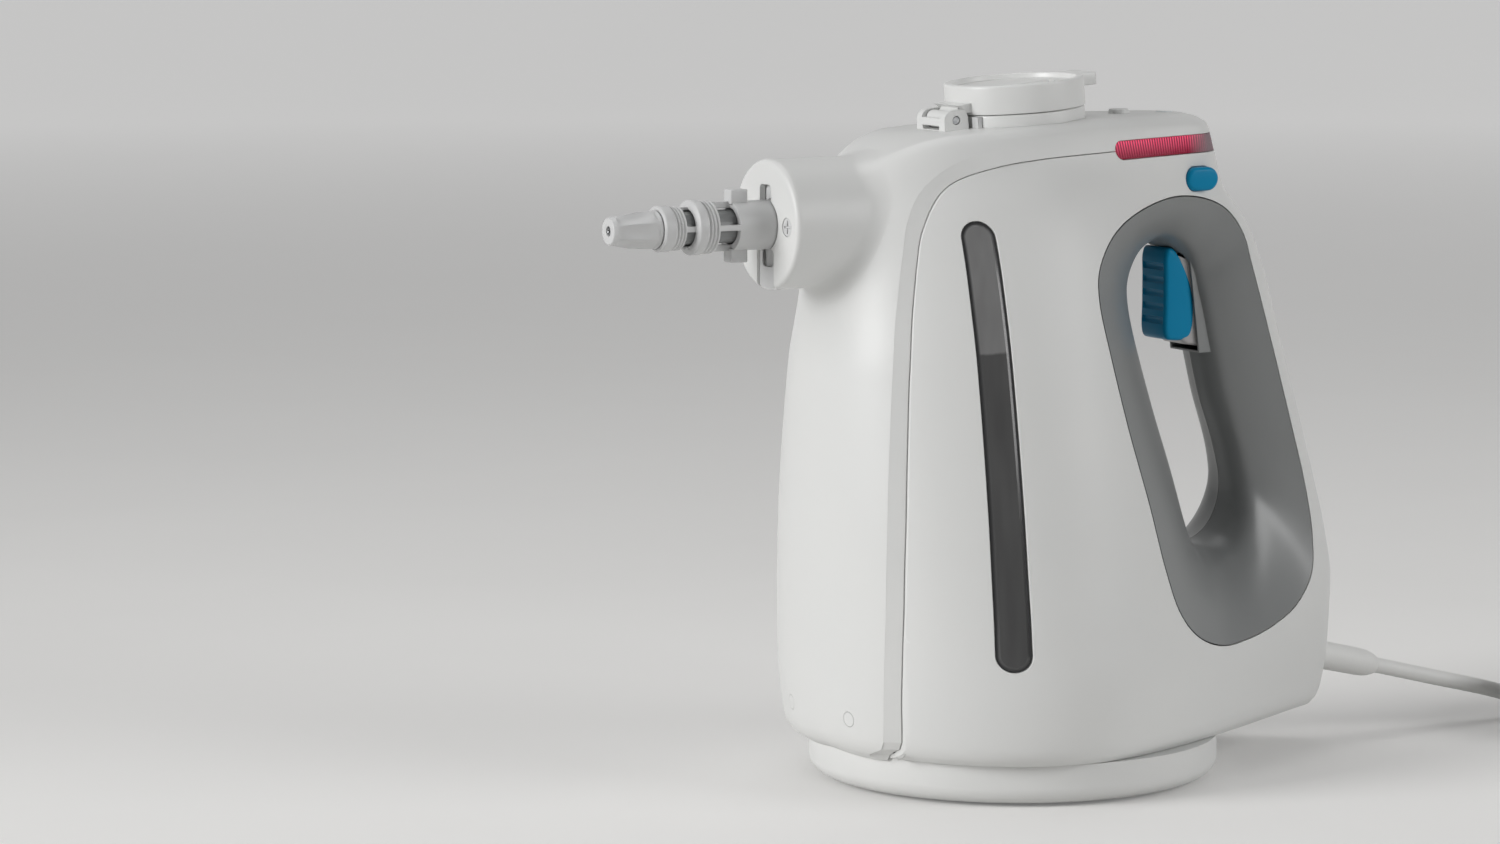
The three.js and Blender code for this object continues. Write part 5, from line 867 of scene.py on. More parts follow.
# the back of its wall, as shares of the wall: outward in the side view, then inward across it
backTable = np.array([(0, 1), (0.4, 0.92), (0.7, 0.72), (0.85, 0.53), (1, 0.2), (1, 0)])
outlinePoints = np.array(outlineTable) * [insert["length"], insert["height"]] + [insert["x"], insert["z"]]
insertOutline = throughPoints(outlinePoints, True, insert["count"])
throatPoints = np.array(throatTable) * [insert["throatLength"], insert["throatHeight"]]
throatOutline = throughPoints(throatPoints + [insert["throatX"], insert["throatZ"]], True, insert["count"])
half = bodySetup["halfWidth"] + 2  # past either side of the body


def barrelShape():
    b = barrel
    profile = [(0, b["root"]), (b["radius"], b["root"]), (b["radius"], b["face"]), (0, b["face"])]
    profile = rounded(profile, [0, 0, b["edge"], 0], 8, closed=False)
    side = [(b["radius"], z) for z in np.linspace(b["root"], b["face"] - b["edge"] - 1, 24)]
    return turned([profile[0], *side, *profile[2:]], nozzleFrame, 144)


filletSetup = {
    "side": 5, "extra": 3, "sink": 0.05, "steps": 7, "around": 96, "castFrom": -160, "castPast": 200,
}


def barrelFillet(skin):  # soft corner where the barrel leaves the body
    f, r = filletSetup, barrel["radius"]
    points, faces = cappedSkin(skin)
    tree = BVHTree.FromPolygons([Vector(p) for p in points], faces)
    rings = []
    for angle in np.linspace(0, 2 * math.pi, f["around"], endpoint=False):
        out = np.array([0, math.cos(angle), math.sin(angle)])
        size = f["side"] + f["extra"] * math.sin(angle) ** 2
        spots = []
        for reach in (r, r + size):
            start = out * reach + [f["castFrom"], 0, nozzleHeight]
            hit = tree.ray_cast(Vector(start), Vector((1, 0, 0)))[0]
            spots.append(np.array(hit if hit else start + [f["castPast"], 0, 0]))
        corner, low = spots
        high = corner - [size, 0, 0] - out * f["sink"]
        low = low + [f["sink"], 0, 0]
        shares = np.linspace(0, 1, f["steps"])
        ring = [(1 - t) ** 2 * high + 2 * t * (1 - t) * corner + t * t * low for t in shares]
        ring += [low + [2, 0, 0] - out, corner + [3, 0, 0] - out * 2]  # back inside the shell
        rings.append(np.array(ring))
    return loft(rings, closed=True)


def slotRegion(x0, x1, halfWidth, radius):
    return rounded([(x0, -halfWidth), (x1, -halfWidth), (x1, halfWidth), (x0, halfWidth)], radius, 6)


def keyholeCut(low, high):  # the slot across the barrel's face, up and down from the tube
    b = barrel
    outline = slotRegion(-b["slotDown"], b["slotUp"], b["slot"], b["slotCorner"])
    return prism(outline, low, high, matrix=nozzleFrame)


def shellBody(skin):
    b = barrel
    inner = cappedSkin([skinRing(h, wall) for h in skinHeights(seam + wall, 7)])
    hollow = disc(b["radius"] - wall, b["root"] - 2, b["face"] - b["faceWall"], matrix=nozzleFrame)
    return carved(
        meshOf("shell", cappedSkin(skin)), ("UNION", barrelShape()), ("UNION", barrelFillet(skin)),
        ("DIFFERENCE", inner), ("DIFFERENCE", hollow),
        ("DIFFERENCE", disc(bodySetup["baseOpening"], seam - 2, seam + wall + 2, segments=128)))


screwPlug = {"height": 33, "swing": 14.7, "radius": 3, "hole": 3.12, "depth": 1.6}


def plugMatrix(side):  # on the plan's ellipse, square to it
    height = screwPlug["height"]
    shares = monotone(np.array((height - seam) / (tall - seam)), levelTable[:, 0], levelTable[:, 1:3])
    depth = shares[0] * bodySetup["front"] + bodySetup["widestX"]
    width = shares[1] * bodySetup["halfWidth"]
    angle = math.radians(screwPlug["swing"])
    x = bodySetup["widestX"] - depth * math.cos(angle)
    y = side * width * math.sin(angle)
    turn = math.atan2(side * depth * math.sin(angle), width * math.cos(angle))
    onto = Matrix.Rotation(-turn, 4, "Z") @ Matrix.Rotation(-math.pi / 2, 4, "Y")
    return Matrix.Translation((x, y, height)) @ onto


def sharpenCrease(obj):  # its edge is too obtuse to count as sharp by its angle
    mesh = bmesh.new()
    mesh.from_mesh(obj.data)
    spots = np.array([(e.verts[0].co + e.verts[1].co) / 2 for e in mesh.edges]) / mm - axisPlace
    for e, spot in zip(mesh.edges, spots):
        if len(e.link_faces) == 2 and e.calc_face_angle() > math.radians(6):
            if np.min(np.hypot(*(creaseLine - spot[[0, 2]]).T)) < creaseSetup["sharp"]:
                e.smooth = False
    mesh.to_mesh(obj.data)
    mesh.free()


def frontCuts():
    b, p = barrel, screwPlug
    back, front = b["face"] - b["faceWall"] - 2, b["face"] + 2  # right through the barrel's face
    groove = slotRegion(-b["grooveEnd"], -b["grooveTop"], b["grooveHalf"], b["grooveCorner"])
    recess = nozzleFrame @ Matrix.Translation((0, b["recessY"], 0))
    cuts = [
        creaseBand(-1), creaseBand(1),
        prism(rearRegion(gap / 2), -half, half, matrix=sideways),
        prism(lensRegion(gap), -half, half, matrix=sideways),
        disc(neck["radius"] + gap, neck["bottom"], lid["radius"], matrix=lidFrame, segments=96),
        disc(tubeRadius + 0.5, back, front, matrix=nozzleFrame),
        keyholeCut(back, front),
        prism(groove, b["face"] - b["grooveDepth"], front, matrix=nozzleFrame),
        disc(b["recess"], b["face"] - b["recessDepth"], front, matrix=recess, segments=40)]
    for d in (deckButton, deckLamp):
        spot = Matrix.Translation((d["x"], 0, 0))
        cuts.append(disc(d["radius"] + gap, deckButton["bottom"], tall + 2, matrix=spot, segments=48))
    cuts += [disc(p["hole"], -p["depth"], 4, matrix=plugMatrix(side), segments=48) for side in (-1, 1)]
    return cuts


shellCopies = [shellBody(liftedSkin()), shellBody(plainSkin)]
twin = shellCopies[1].copy()
twin.data = shellCopies[1].data.copy()
bpy.context.scene.collection.objects.link(twin)
shellCopies.append(twin)
frontShell = carved(shellCopies[0], *[("DIFFERENCE", cut) for cut in frontCuts()])
frontShell.name = "frontShell"
finished(frontShell, whiteAbs, replaces=["front_shell"])
sharpenCrease(frontShell)
for side, obj, name in ((-1, shellCopies[1], "left"), (1, shellCopies[2], "right")):
    yRange = (-half, -gap / 2) if side < 0 else (gap / 2, half)
    steps = [
        ("INTERSECT", prism(rearRegion(-gap / 2), *yRange, matrix=sideways)),
        ("DIFFERENCE", prism(grown(insertOutline, gap + 0.2), -half, half, matrix=sideways)),
        ("DIFFERENCE", prism(lensRegion(gap), -half, half, matrix=sideways)),
        ("DIFFERENCE", prism(lockRegion(gap), -half, half, matrix=sideways)),
        ("DIFFERENCE", disc(glandHole, -42, 0, matrix=glandFrame))]
    if side < 0:
        steps.append(("DIFFERENCE", prism(windowRegion(gap), -half, 0, matrix=sideways)))
    carved(obj, *steps)
    obj.name = "sideShell" + name.capitalize()
    finished(obj, whiteAbs, replaces=["side_shell_" + name])
print("shells cut")

# trigger: its place, its length down from the pivot, and its cap's outline in shares of that length
trigger = {
    "x": 95, "z": 211, "length": 38.6, "front": -0.703,  # the last is a share of the length, from the pivot
    "capHalf": 9.5, "capRoom": 0.45, "bodyHalf": 8.9, "pinHole": 1.8, "grooves": 5, "grooveFrom": -3.6,
    "groovePitch": 5.6, "grooveRadius": 1.7, "grooveHalf": 7.6, "grooveOff": 0.95,
}
# slot in the handle's lining that the trigger looks out of, and its walls
wellSetup = {
    "slotFront": 76, "slotCorner": 2.5, "frontLow": 84, "frontHigh": 78, "rear": 104, "bottom": 171.8,
    "top": 216.8, "half": 10, "wall": 0.8,
}
triggerFrame = Matrix.Translation((trigger["x"], 0, trigger["z"])) @ sideways
capTable = np.array([
    (-0.703, -0.8), (-0.703, -0.5), (-0.703, -0.2), (-0.702, 0.03), (-0.667, 0.11), (-0.6, 0.105),
    (-0.53, 0.03), (-0.45, -0.11), (-0.375, -0.28), (-0.332, -0.45), (-0.322, -0.6), (-0.335, -0.75),
    (-0.378, -0.858), (-0.46, -0.892), (-0.58, -0.893), (-0.672, -0.872)]) * trigger["length"]
capOutline = throughPoints(capTable, True, 84)


# handle insert: a flared lining from each side of the body to a throat in its middle plane
def insertHalf(side):
    outline = insertOutline
    depth = np.array([skinHalfWidth(x, z) for x, z in outline])
    grip = depth.min()
    blend = np.clip((depth - grip) / (insert["wideFrom"] - grip), 0, 1)
    blend = blend * blend * (3 - 2 * blend)
    ahead = np.roll(outline, -1, 0) - np.roll(outline, 1, 0)
    ahead /= np.linalg.norm(ahead, axis=1)[:, None]
    outward = np.stack([ahead[:, 1], -ahead[:, 0]], 1)
    middle = outline.mean(axis=0)
    if np.sum((outline - middle) * outward) < 0:
        outward = -outward
    rings = []
    steps = np.linspace(0, 5, 41)
    ways = monotone(steps, np.arange(6), flareTable)
    offs = monotone(steps, np.arange(6), backTable)
    for back in (False, True):
        group = []
        for (way, wide, narrow), (out, inwards) in zip(ways, offs):
            left = narrow + (wide - narrow) * blend
            y = depth * left - (inwards * insert["wall"] if back else 0)
            flat = outline * (1 - way) + throatOutline * way + outward * (out * insert["wall"] if back else 0)
            group.append(np.column_stack([flat[:, 0], side * np.maximum(gap / 2, y), flat[:, 1]]))
        rings += group[::-1] if back else group
    w = wellSetup
    slot = [(w["slotFront"], w["bottom"]), (w["rear"], w["bottom"]), (w["rear"], w["top"]),
            (w["slotFront"], w["top"])]
    slot = prism(rounded(slot, w["slotCorner"]), -w["half"], w["half"], matrix=sideways)
    room = prism(grown(capOutline, trigger["capRoom"]), -w["half"], w["half"], matrix=triggerFrame)
    name = "left" if side < 0 else "right"
    obj = meshOf("handleInsert" + name.capitalize(), loft(rings, closed=True))
    carved(obj, ("DIFFERENCE", slot), ("DIFFERENCE", room))
    return finished(obj, glossGreyAbs, replaces=["handle_insert_" + name], sharpAt=40)


for side in (-1, 1):
    insertHalf(side)
print("handle inserts made")


# water window: a pane that follows the skin, a little sunk
def windowPane():
    pane = meshOf("waterWindow", cappedSkin([skinRing(h, 0.5) for h in skinHeights(seam, 3)]))
    return carved(
        pane, ("DIFFERENCE", cappedSkin([skinRing(h, wall) for h in skinHeights(seam, 7)])),
        ("INTERSECT", prism(windowRegion(-gap / 2), -half, 0, matrix=sideways)))


finished(windowPane(), smokedPolycarbonate, replaces=["water_window"])

# status lens: ribbed band round the rear of the top
ribSetup = {
    "pitch": 1.33, "depth": 0.45, "perRib": 6, "from": 16, "bottom": 252, "top": 267, "levels": 16,
    "unlitReach": 37, "unlitFade": 13,  # each way from the rear middle
}


def lensBand():
    r, s = ribSetup, lensSetup
    heights = np.linspace(r["bottom"], r["top"], r["levels"])
    rows = []
    for inset in (s["inset"], wall):
        layer = []
        for z in heights:
            plan = planAt(z, inset)
            arc = plan[plan[:, 0] > r["from"]]
            rear = np.concatenate([arc[:-1] * [1, -1], arc[::-1]])
            far = np.concatenate([[0], np.cumsum(np.linalg.norm(np.diff(rear, axis=0), axis=1))])
            layer.append((rear, far, far[-1] / 2))
        rows.append(layer)
    reach = min(middle for layer in rows for _, _, middle in layer)
    ribs = int(reach / r["pitch"])
    along = np.arange(-ribs * r["perRib"], ribs * r["perRib"] + 1) / r["perRib"]
    grids = []
    for index, layer in enumerate(rows):
        grid = []
        for z, (rear, far, middle) in zip(heights, layer):
            spots = middle + along / ribs * (middle - 1)
            x, y = np.interp(spots, far, rear[:, 0]), np.interp(spots, far, rear[:, 1])
            tangent = np.stack([np.gradient(x), np.gradient(y)], 1)
            tangent /= np.linalg.norm(tangent, axis=1)[:, None]
            outward = np.stack([tangent[:, 1], -tangent[:, 0]], 1)
            if index == 0:
                groove = r["depth"] * (0.5 - 0.5 * np.abs(np.cos(np.pi * along)))
                x, y = x - outward[:, 0] * groove, y - outward[:, 1] * groove
            grid.append(np.column_stack([x, y, np.full(len(x), z)]))
        grids.append(np.array(grid))
    rings = [np.concatenate([grids[0][:, k], grids[1][::-1, k]]) for k in range(len(along))]
    band = meshOf("statusLens", loft(rings))
    carved(band, ("INTERSECT", prism(lensRegion(0), -half, half, matrix=sideways)))
    # what the material asks of each spot: nearness to a rib's crest, share without a lamp, height in the
    # band; crest and height set its painted highlights and shade
    spots = np.empty(len(band.data.vertices) * 3)
    band.data.vertices.foreach_get("co", spots)
    spots = spots.reshape(-1, 3) / mm - axisPlace
    rear, far, middle = rows[0][r["levels"] // 2]
    starts = rear[:-1]
    step = rear[1:] - starts
    size = np.sum(step ** 2, axis=1)
    slope = math.tan(math.radians(s["slope"]))
    crest, unlit, rise = [], [], []
    for x, y, z in spots:
        away = np.array([x, y]) - starts
        t = np.clip(np.sum(away * step, axis=1) / size, 0, 1)
        off = np.linalg.norm(away - t[:, None] * step, axis=1)
        k = int(off.argmin())
        spot = far[k] + t[k] * math.sqrt(size[k]) - middle
        crest.append(abs(math.cos(math.pi * spot / (middle - 1) * ribs)))
        unlit.append(min(1, max(0, (r["unlitReach"] - abs(spot)) / r["unlitFade"])))
        rise.append((z - s["height"] - (x - s["startX"] - s["half"]) * slope) / s["half"])
    for name, values in (("crest", crest), ("unlit", unlit), ("rise", rise)):
        band.data.attributes.new(name, "FLOAT", "POINT").data.foreach_set("value", values)
    return band


finished(lensBand(), redPolycarbonate, replaces=["status_lens"], sharpAt=70)
print("window and lens made")

# lock button: bar through the top of the handle, domed ends
lockWidth = skinHalfWidth(lock["x"], lock["z"])
lockBar = prism(lockRegion(0), -lockWidth - lock["proud"], lockWidth - lock["sink"], 1.7, sideways, 7)
piece("lockButton", lockBar, blueAbs, body="lock", replaces=["lock_button"], sharpAt=50)

# screw plugs, deck button and lamp
for side, name in ((-1, "left"), (1, "right")):
    stub = disc(screwPlug["radius"], gap - screwPlug["depth"], 2, matrix=plugMatrix(side), segments=48)
    stub = meshOf("screwPlug" + name.capitalize(), stub)
    carved(stub, ("INTERSECT", cappedSkin(liftedSkin())))
    finished(stub, whiteAbs, replaces=["screw_plug_" + name])


def buttonShape():
    d = deckButton
    profile = [(0, d["bottom"]), (d["radius"], d["bottom"]), (d["radius"], d["top"]),
               (0, d["top"] - d["dish"])]
    return turned(rounded(profile, [0, 0.2, 0.9, 0], 5, closed=False), Matrix.Translation((d["x"], 0, 0)), 56)


def lampShape():
    d = deckLamp
    profile = [(0, d["bottom"]), (d["radius"], d["bottom"]), (d["radius"], d["rim"]), (0, d["top"])]
    return turned(rounded(profile, [0, 0.2, 0.4, 0], 4, closed=False), Matrix.Translation((d["x"], 0, 0)), 48)


piece("powerButton", buttonShape(), whiteAbs, body="button", replaces=["power_button"])
piece("statusLamp", lampShape(), naturalPolypropylene, replaces=["status_lamp"])

# base cup with feet and screws
baseSetup = {
    "bottom": 1.2, "floor": 2.6, "contact": 76.5, "round": 7, "wall": 2.5, "lip": 77.6, "lipTop": 22,
    "radius": 84.5, "footRadius": 8, "footAxis": 58, "screwAxis": 68, "boss": 4.5, "bossTop": 17, "screw": 2,
    "head": 3.6, "headDepth": 2.3,
}
footFrames = []
for i in range(4):
    swing = Matrix.Rotation(math.radians(45 + 90 * i), 4, "Z")
    footFrames.append(swing @ Matrix.Translation((baseSetup["footAxis"], 0, 0)))


def baseCup():
    s = baseSetup
    rim, inside = seam - gap, s["bottom"] + s["floor"]
    angle = np.linspace(0, math.pi / 2, 14)
    wide = s["contact"] + (s["radius"] - s["contact"]) * np.sin(angle)
    outer = np.stack([wide, s["bottom"] + s["round"] * (1 - np.cos(angle))], 1)
    profile = [(0, s["bottom"]), *outer, (s["radius"], rim), (s["lip"], rim), (s["lip"], s["lipTop"]),
               (s["lip"] - s["wall"], s["lipTop"]), (s["lip"] - s["wall"], s["bottom"] + s["round"]),
               (s["contact"] - s["wall"], inside), (0, inside)]
    cup = meshOf("baseCup", turned(profile, None, 160))
    steps = []
    for spot in footFrames:
        pocket = disc(s["footRadius"] + gap, -1, s["bottom"] + 1, matrix=spot, segments=48)
        steps.append(("DIFFERENCE", pocket))
    for i in (-1, 1):
        spot = Matrix.Translation((0, i * s["screwAxis"], 0))
        steps += [("UNION", disc(s["boss"], s["bottom"], s["bossTop"], matrix=spot, segments=40)),
                  ("DIFFERENCE", disc(s["screw"], -1, s["bossTop"] + 2, matrix=spot, segments=32)),
                  ("DIFFERENCE", disc(s["head"], -1, s["bottom"] + s["headDepth"], matrix=spot, segments=40))]
    return carved(cup, *steps)


finished(baseCup(), whiteAbs, replaces=["base_cup"])
# half a foot's section, a little hollow under its middle
footTable = [(0, 0.35), (2.6, 0.35), (3.2, 0), (8, 0), (8, 1.7), (0, 1.7)]
footProfile = rounded(footTable, [0, 0.2, 0.2, 0.5, 0.2, 0], 4, closed=False)
for i, spot in enumerate(footFrames):
    piece("foot%d" % (i + 1), turned(footProfile, spot, 48), blackRubber, replaces=["foot_%d" % (i + 1)])
print("base made")


# filler neck and lid
def neckShape():
    n = neck
    profile = [(n["bore"], n["bottom"]), (n["lower"], n["bottom"]), (n["lower"], n["shoulder"]),
               (n["radius"], n["shoulder"]), (n["radius"], n["top"]), (n["bore"], n["top"])]
    return turned(rounded(profile, [0.4, 0.4, 0.3, 0.6, 0.8, 0.8], 4), lidFrame, 112, closed=True)


piece("fillerNeck", neckShape(), lidAbs, replaces=["filler_neck"])
# the arm's angles, in degrees round the hinge: where its top starts, where its web ends, where its horn ends
hinge = {
    "x": -35, "z": 4.8, "pin": 1.5, "knuckle": 3.6, "arm": 6.6, "armTo": 8.5, "hornHalf": 10,
    "hornRadius": 5.9, "hornTop": 6.1, "armAngles": (24, 50, 72),
}
hingeFrame = lidFrame @ Matrix.Translation((hinge["x"], 0, hinge["z"])) @ Matrix.Rotation(math.pi / 2, 4, "X")


def roundHinge(radius, angle):  # a spot at a distance and angle from the hinge axis
    return hinge["x"] + radius * math.cos(angle), hinge["z"] + radius * math.sin(angle)


def lidBody():
    s, h = lid, hinge
    floor = s["top"] - s["depth"]
    ceiling = floor - s["plate"]
    dish, lip = s["dish"] - 0.6, s["skirt"] - 2
    cap = [(0, s["bottom"]), (s["radius"], s["bottom"]), (s["radius"], s["top"]), (s["dish"], s["top"]),
           (dish, floor), (0, floor)]
    cap = turned(rounded(cap, [0, 0.3, 1.2, 0.8, 0.5, 0], 6, closed=False), lidFrame, 128)
    room = disc(s["radius"] - wall, s["bottom"] - 2, ceiling, matrix=lidFrame, segments=112)
    skirt = [(lip, s["skirtBottom"]), (s["skirt"], s["skirtBottom"]), (s["skirt"], floor - 1),
             (lip, floor - 1)]
    skirt = turned(skirt, lidFrame, 112, closed=True)
    tab = [(s["dish"] - 1, -s["tabHalf"]), (s["tabReach"], -s["tabHalf"]), (s["tabReach"], s["tabHalf"]),
           (s["dish"] - 1, s["tabHalf"])]
    tab = prism(rounded(tab, [0, 1.6, 1.6, 0], 6), s["top"] - s["tabThick"], s["top"], 0.5, lidFrame)
    dishAgain = disc(dish, floor, s["top"] + 2, matrix=lidFrame, segments=112)
    # a low bar and two studs on the dish's floor
    barFrame = lidFrame @ Matrix.Translation((0, s["barY"], 0))
    grip = slotRegion(-s["barHalf"], s["barHalf"], 1.7, 1.6)
    grip = prism(grip, floor - 1, floor + s["barHeight"] + 0.5, 0.5, barFrame)
    studs = []
    for x in (-s["studX"], s["studX"]):
        spot = lidFrame @ Matrix.Translation((x, s["barY"], 0))
        studs.append(("UNION", disc(1.1, floor - 1, floor + 1.1, 0.4, spot, 24)))
    near, webEnd, hornEnd = (math.radians(v) for v in h["armAngles"])
    far = [roundHinge(h["hornRadius"], hornEnd + (near - hornEnd) * i / 10) for i in range(11)]
    level = h["z"] + h["hornRadius"] * math.sin(near)
    rim = h["x"] + h["armTo"]
    horn = far + [(rim, level), (rim, h["z"] + h["hornTop"])]
    horn = prism(horn, -h["hornHalf"], h["hornHalf"], matrix=lidFrame @ sideways)
    web = [roundHinge(h["knuckle"] / 2, webEnd), roundHinge(h["knuckle"] / 2, 0),
           roundHinge(h["hornRadius"], near), (rim, level), roundHinge(h["hornRadius"] + gap, webEnd)]
    web = prism(web, -h["arm"], h["arm"], matrix=lidFrame @ sideways)
    knuckle = disc(h["knuckle"], -h["arm"], h["arm"], matrix=hingeFrame, segments=48)
    bore = disc(h["pin"] + gap, -30, 30, matrix=hingeFrame, segments=32)
    return carved(
        meshOf("lid", cap), ("UNION", tab), ("UNION", horn), ("UNION", web), ("UNION", knuckle),
        ("DIFFERENCE", room), ("DIFFERENCE", dishAgain), ("UNION", skirt), ("UNION", grip), *studs,
        ("DIFFERENCE", bore))


finished(lidBody(), lidAbs, body="lid", replaces=["lid"])
print("lid made")

# nozzle: cage with two threaded collars, open windows and lugs; fluted tip; orifice
nozzleSetup = {
    "bore": 7.4, "rear": 99, "front": 167, "collar": 10.9, "windows": ((153, 157.3), (134, 143.2)),
    "rib": 1.1, "lug": 4.7, "lugHalf": 3.2, "lugFrom": 127.2, "lugTo": 134.9, "lockLug": 4, "lockFrom": 108,
    "lockTo": 112.4, "threads": (144.2, 145.8, 147.4), "fineThreads": (158.2, 159.6, 161.0),
}


def nozzleCage():
    s = nozzleSetup
    r, collar = tubeRadius, s["collar"]
    profile = [(r, s["rear"]), (r, 143.2), (collar - 0.3, 143.5)]
    for low in s["threads"]:
        profile += [(collar - 0.3, low), (collar - 0.85, low + 0.35), (collar - 0.85, low + 0.75),
                    (collar - 0.3, low + 1.1)]
    brim = len(profile)
    profile += [(collar + 0.15, 148.8), (collar + 0.15, 152.4), (collar - 1.6, 153)]
    profile += [(8.3, 153.2), (8.3, 157.3), (8.8, 157.6)]
    for low in s["fineThreads"]:
        profile += [(8.8, low), (8.35, low + 0.3), (8.35, low + 0.65), (8.8, low + 0.95)]
    profile += [(9.2, 162.4), (9.2, s["front"] - 0.6), (8.6, s["front"])]
    profile += [(s["bore"], s["front"]), (s["bore"], s["rear"])]
    rounding = [0.3] * len(profile)
    rounding[brim:brim + 2] = [0.7, 0.7]
    cage = meshOf("nozzleCage", turned(rounded(profile, rounding, 3), nozzleFrame, 96, closed=True))
    steps = []
    for low, high in s["windows"]:
        for across in (-1, 1):
            for up in (-1, 1):
                (x0, x1), (y0, y1) = [sorted((sign * s["rib"], sign * 20)) for sign in (up, across)]
                steps.append(("DIFFERENCE", box((x0, y0, low), (x1, y1, high), 0.5, nozzleFrame)))
    inner = r - 1.25
    wide = s["lugHalf"]
    for side in (-1, 1):
        start, end = sorted((side * inner, side * (r + s["lug"])))
        lug = box((start, -wide, s["lugFrom"]), (end, wide, s["lugTo"]), 0.7, nozzleFrame)
        start, end = sorted((side * inner, side * (r + s["lockLug"])))
        lockLug = box((-wide, start, s["lockFrom"]), (wide, end, s["lockTo"]), 0.5, nozzleFrame)
        steps += [("UNION", lug), ("UNION", lockLug)]
    return carved(cage, *steps)


finished(nozzleCage(), greyPolyamide, body="nozzle", replaces=["nozzle_cage"])

tipSetup = {
    "foot": 7.75, "taper": 2.1, "curve": 2.2, "start": 170, "length": 17.3,
    "flutes": 7, "fluteDepth": 1.5, "fluteTurn": 0.9, "fluteSoftness": 0.8, "fluteEnd": 0.93,
}


def nozzleTip():
    s = tipSetup
    segments = 96
    angles = np.linspace(0, 2 * math.pi, segments, endpoint=False)
    flute = np.abs(np.sin(s["flutes"] / 2 * angles + s["fluteTurn"])) ** s["fluteSoftness"]
    # radius, height and share of the flutes' depth, up the outside and back down the bore
    foot = s["foot"]
    stations = [(1.5, 158.5, 0), (7.1, 158.5, 0), (7.1, 167.3, 0), (7.5, 167.3, 0), (foot, 167.6, 0.1),
                (foot, 169, 0.5)]
    for t in np.linspace(0, 1, 18):
        share = 0.3 + 0.7 * math.sin(math.pi * min(1, t / s["fluteEnd"])) if t < s["fluteEnd"] else 0
        stations.append((foot - s["taper"] * t ** s["curve"], s["start"] + s["length"] * t, share))
    stations += [(5.3, 188, 0), (5.0, 188.2, 0), (2.3, 188.2, 0), (2.0, 188.0, 0), (2.0, 186, 0),
                 (1.5, 186, 0)]
    rings = []
    for radius, z, share in stations:
        reach = radius - s["fluteDepth"] * max(0, share) * flute
        rings.append(np.column_stack([reach * np.cos(angles), reach * np.sin(angles), np.full(segments, z)]))
    points, faces = loft(rings, closed=True)
    return placed(points, nozzleFrame), faces


piece("nozzleTip", nozzleTip(), greyPolyamide, body="nozzle", replaces=["nozzle_tip"], sharpAt=24)
orificeProfile = rounded([(0.7, 186.3), (1.95, 186.3), (1.95, 187.4), (0.7, 188)], [0, 0.1, 0.3, 0.4], 3)
orifice = turned(orificeProfile, nozzleFrame, 48, closed=True)
piece("nozzleOrifice", orifice, drawnSteel, body="nozzle", replaces=["nozzle_orifice"])


# grey inlay on the floor of the groove under the keyhole
def keyholeInlay():
    b = barrel
    back, front, floor = b["face"] - 4, b["face"], b["face"] - b["grooveDepth"]
    groove = slotRegion(
        -b["grooveEnd"], -b["grooveTop"] - 0.15, b["grooveHalf"] - 0.15, b["grooveCorner"] - 0.1)
    inlay = disc(b["radius"] - 0.7, floor - 0.5, floor + 0.5, matrix=nozzleFrame, segments=96)
    return carved(
        meshOf("keyholeInlay", inlay), ("INTERSECT", prism(groove, back, front, matrix=nozzleFrame)),
        ("DIFFERENCE", keyholeCut(back, front)),
        ("DIFFERENCE", disc(tubeRadius + 0.5, back, front, matrix=nozzleFrame)))


# insert in the round recess of the barrel's face, with a slot across it each way
insertCross = {"play": 0.12, "below": 0.3, "slotHalf": 2.6, "slotWidth": 0.45, "slotDepth": 0.8}


def barrelInsert():
    b, c = barrel, insertCross
    recess = nozzleFrame @ Matrix.Translation((0, b["recessY"], 0))
    back, front = b["face"] - b["recessDepth"], b["face"] - c["below"]
    obj = meshOf("barrelInsert", disc(b["recess"] - c["play"], back, front, matrix=recess, segments=40))
    steps = []
    low, high = b["face"] - c["slotDepth"], b["face"] + 1
    for x, y in ((c["slotHalf"], c["slotWidth"]), (c["slotWidth"], c["slotHalf"])):
        steps.append(("DIFFERENCE", box((-x, -y, low), (x, y, high), 0, recess)))
    return carved(obj, *steps)


# shutter that turns with the nozzle and fills the keyhole, but for the notches that its lock lugs leave by
shutterSetup = {"inner": 10.2, "outer": 20.5, "rear": 112.9, "front": 114.6, "notchHalf": 3.6}


def keyholeShutter():
    s = shutterSetup
    profile = [(s["inner"], s["rear"]), (s["outer"], s["rear"]), (s["outer"], s["front"]),
               (s["inner"], s["front"])]
    obj = meshOf("keyholeShutter", turned(profile, nozzleFrame, 96, closed=True))
    wide = s["notchHalf"]
    notches = []
    for low, high in ((-21, -9), (9, 21)):
        notches.append(box((-wide, low, 112), (wide, high, 116), 0, nozzleFrame))
    return carved(obj, *[("DIFFERENCE", notch) for notch in notches])


finished(keyholeInlay(), greyPolyamide)
finished(barrelInsert(), greyPolyamide)
finished(keyholeShutter(), greyPolyamide, body="nozzle")
print("nozzle made")


# trigger: blue cap with grip grooves across its finger face, pale body behind
def triggerCap():
    t = trigger
    cap = meshOf("triggerCap", prism(capOutline, -t["capHalf"], t["capHalf"], 1.8, triggerFrame, 7))
    steps = []
    for i in range(t["grooves"]):
        spot = (t["front"] * t["length"] - t["grooveOff"], t["grooveFrom"] - i * t["groovePitch"], 0)
        spot = triggerFrame @ Matrix.Translation(spot)
        groove = disc(t["grooveRadius"], -t["grooveHalf"], t["grooveHalf"], 0.8, spot, 32)
        steps.append(("DIFFERENCE", groove))
    return carved(cap, *steps)


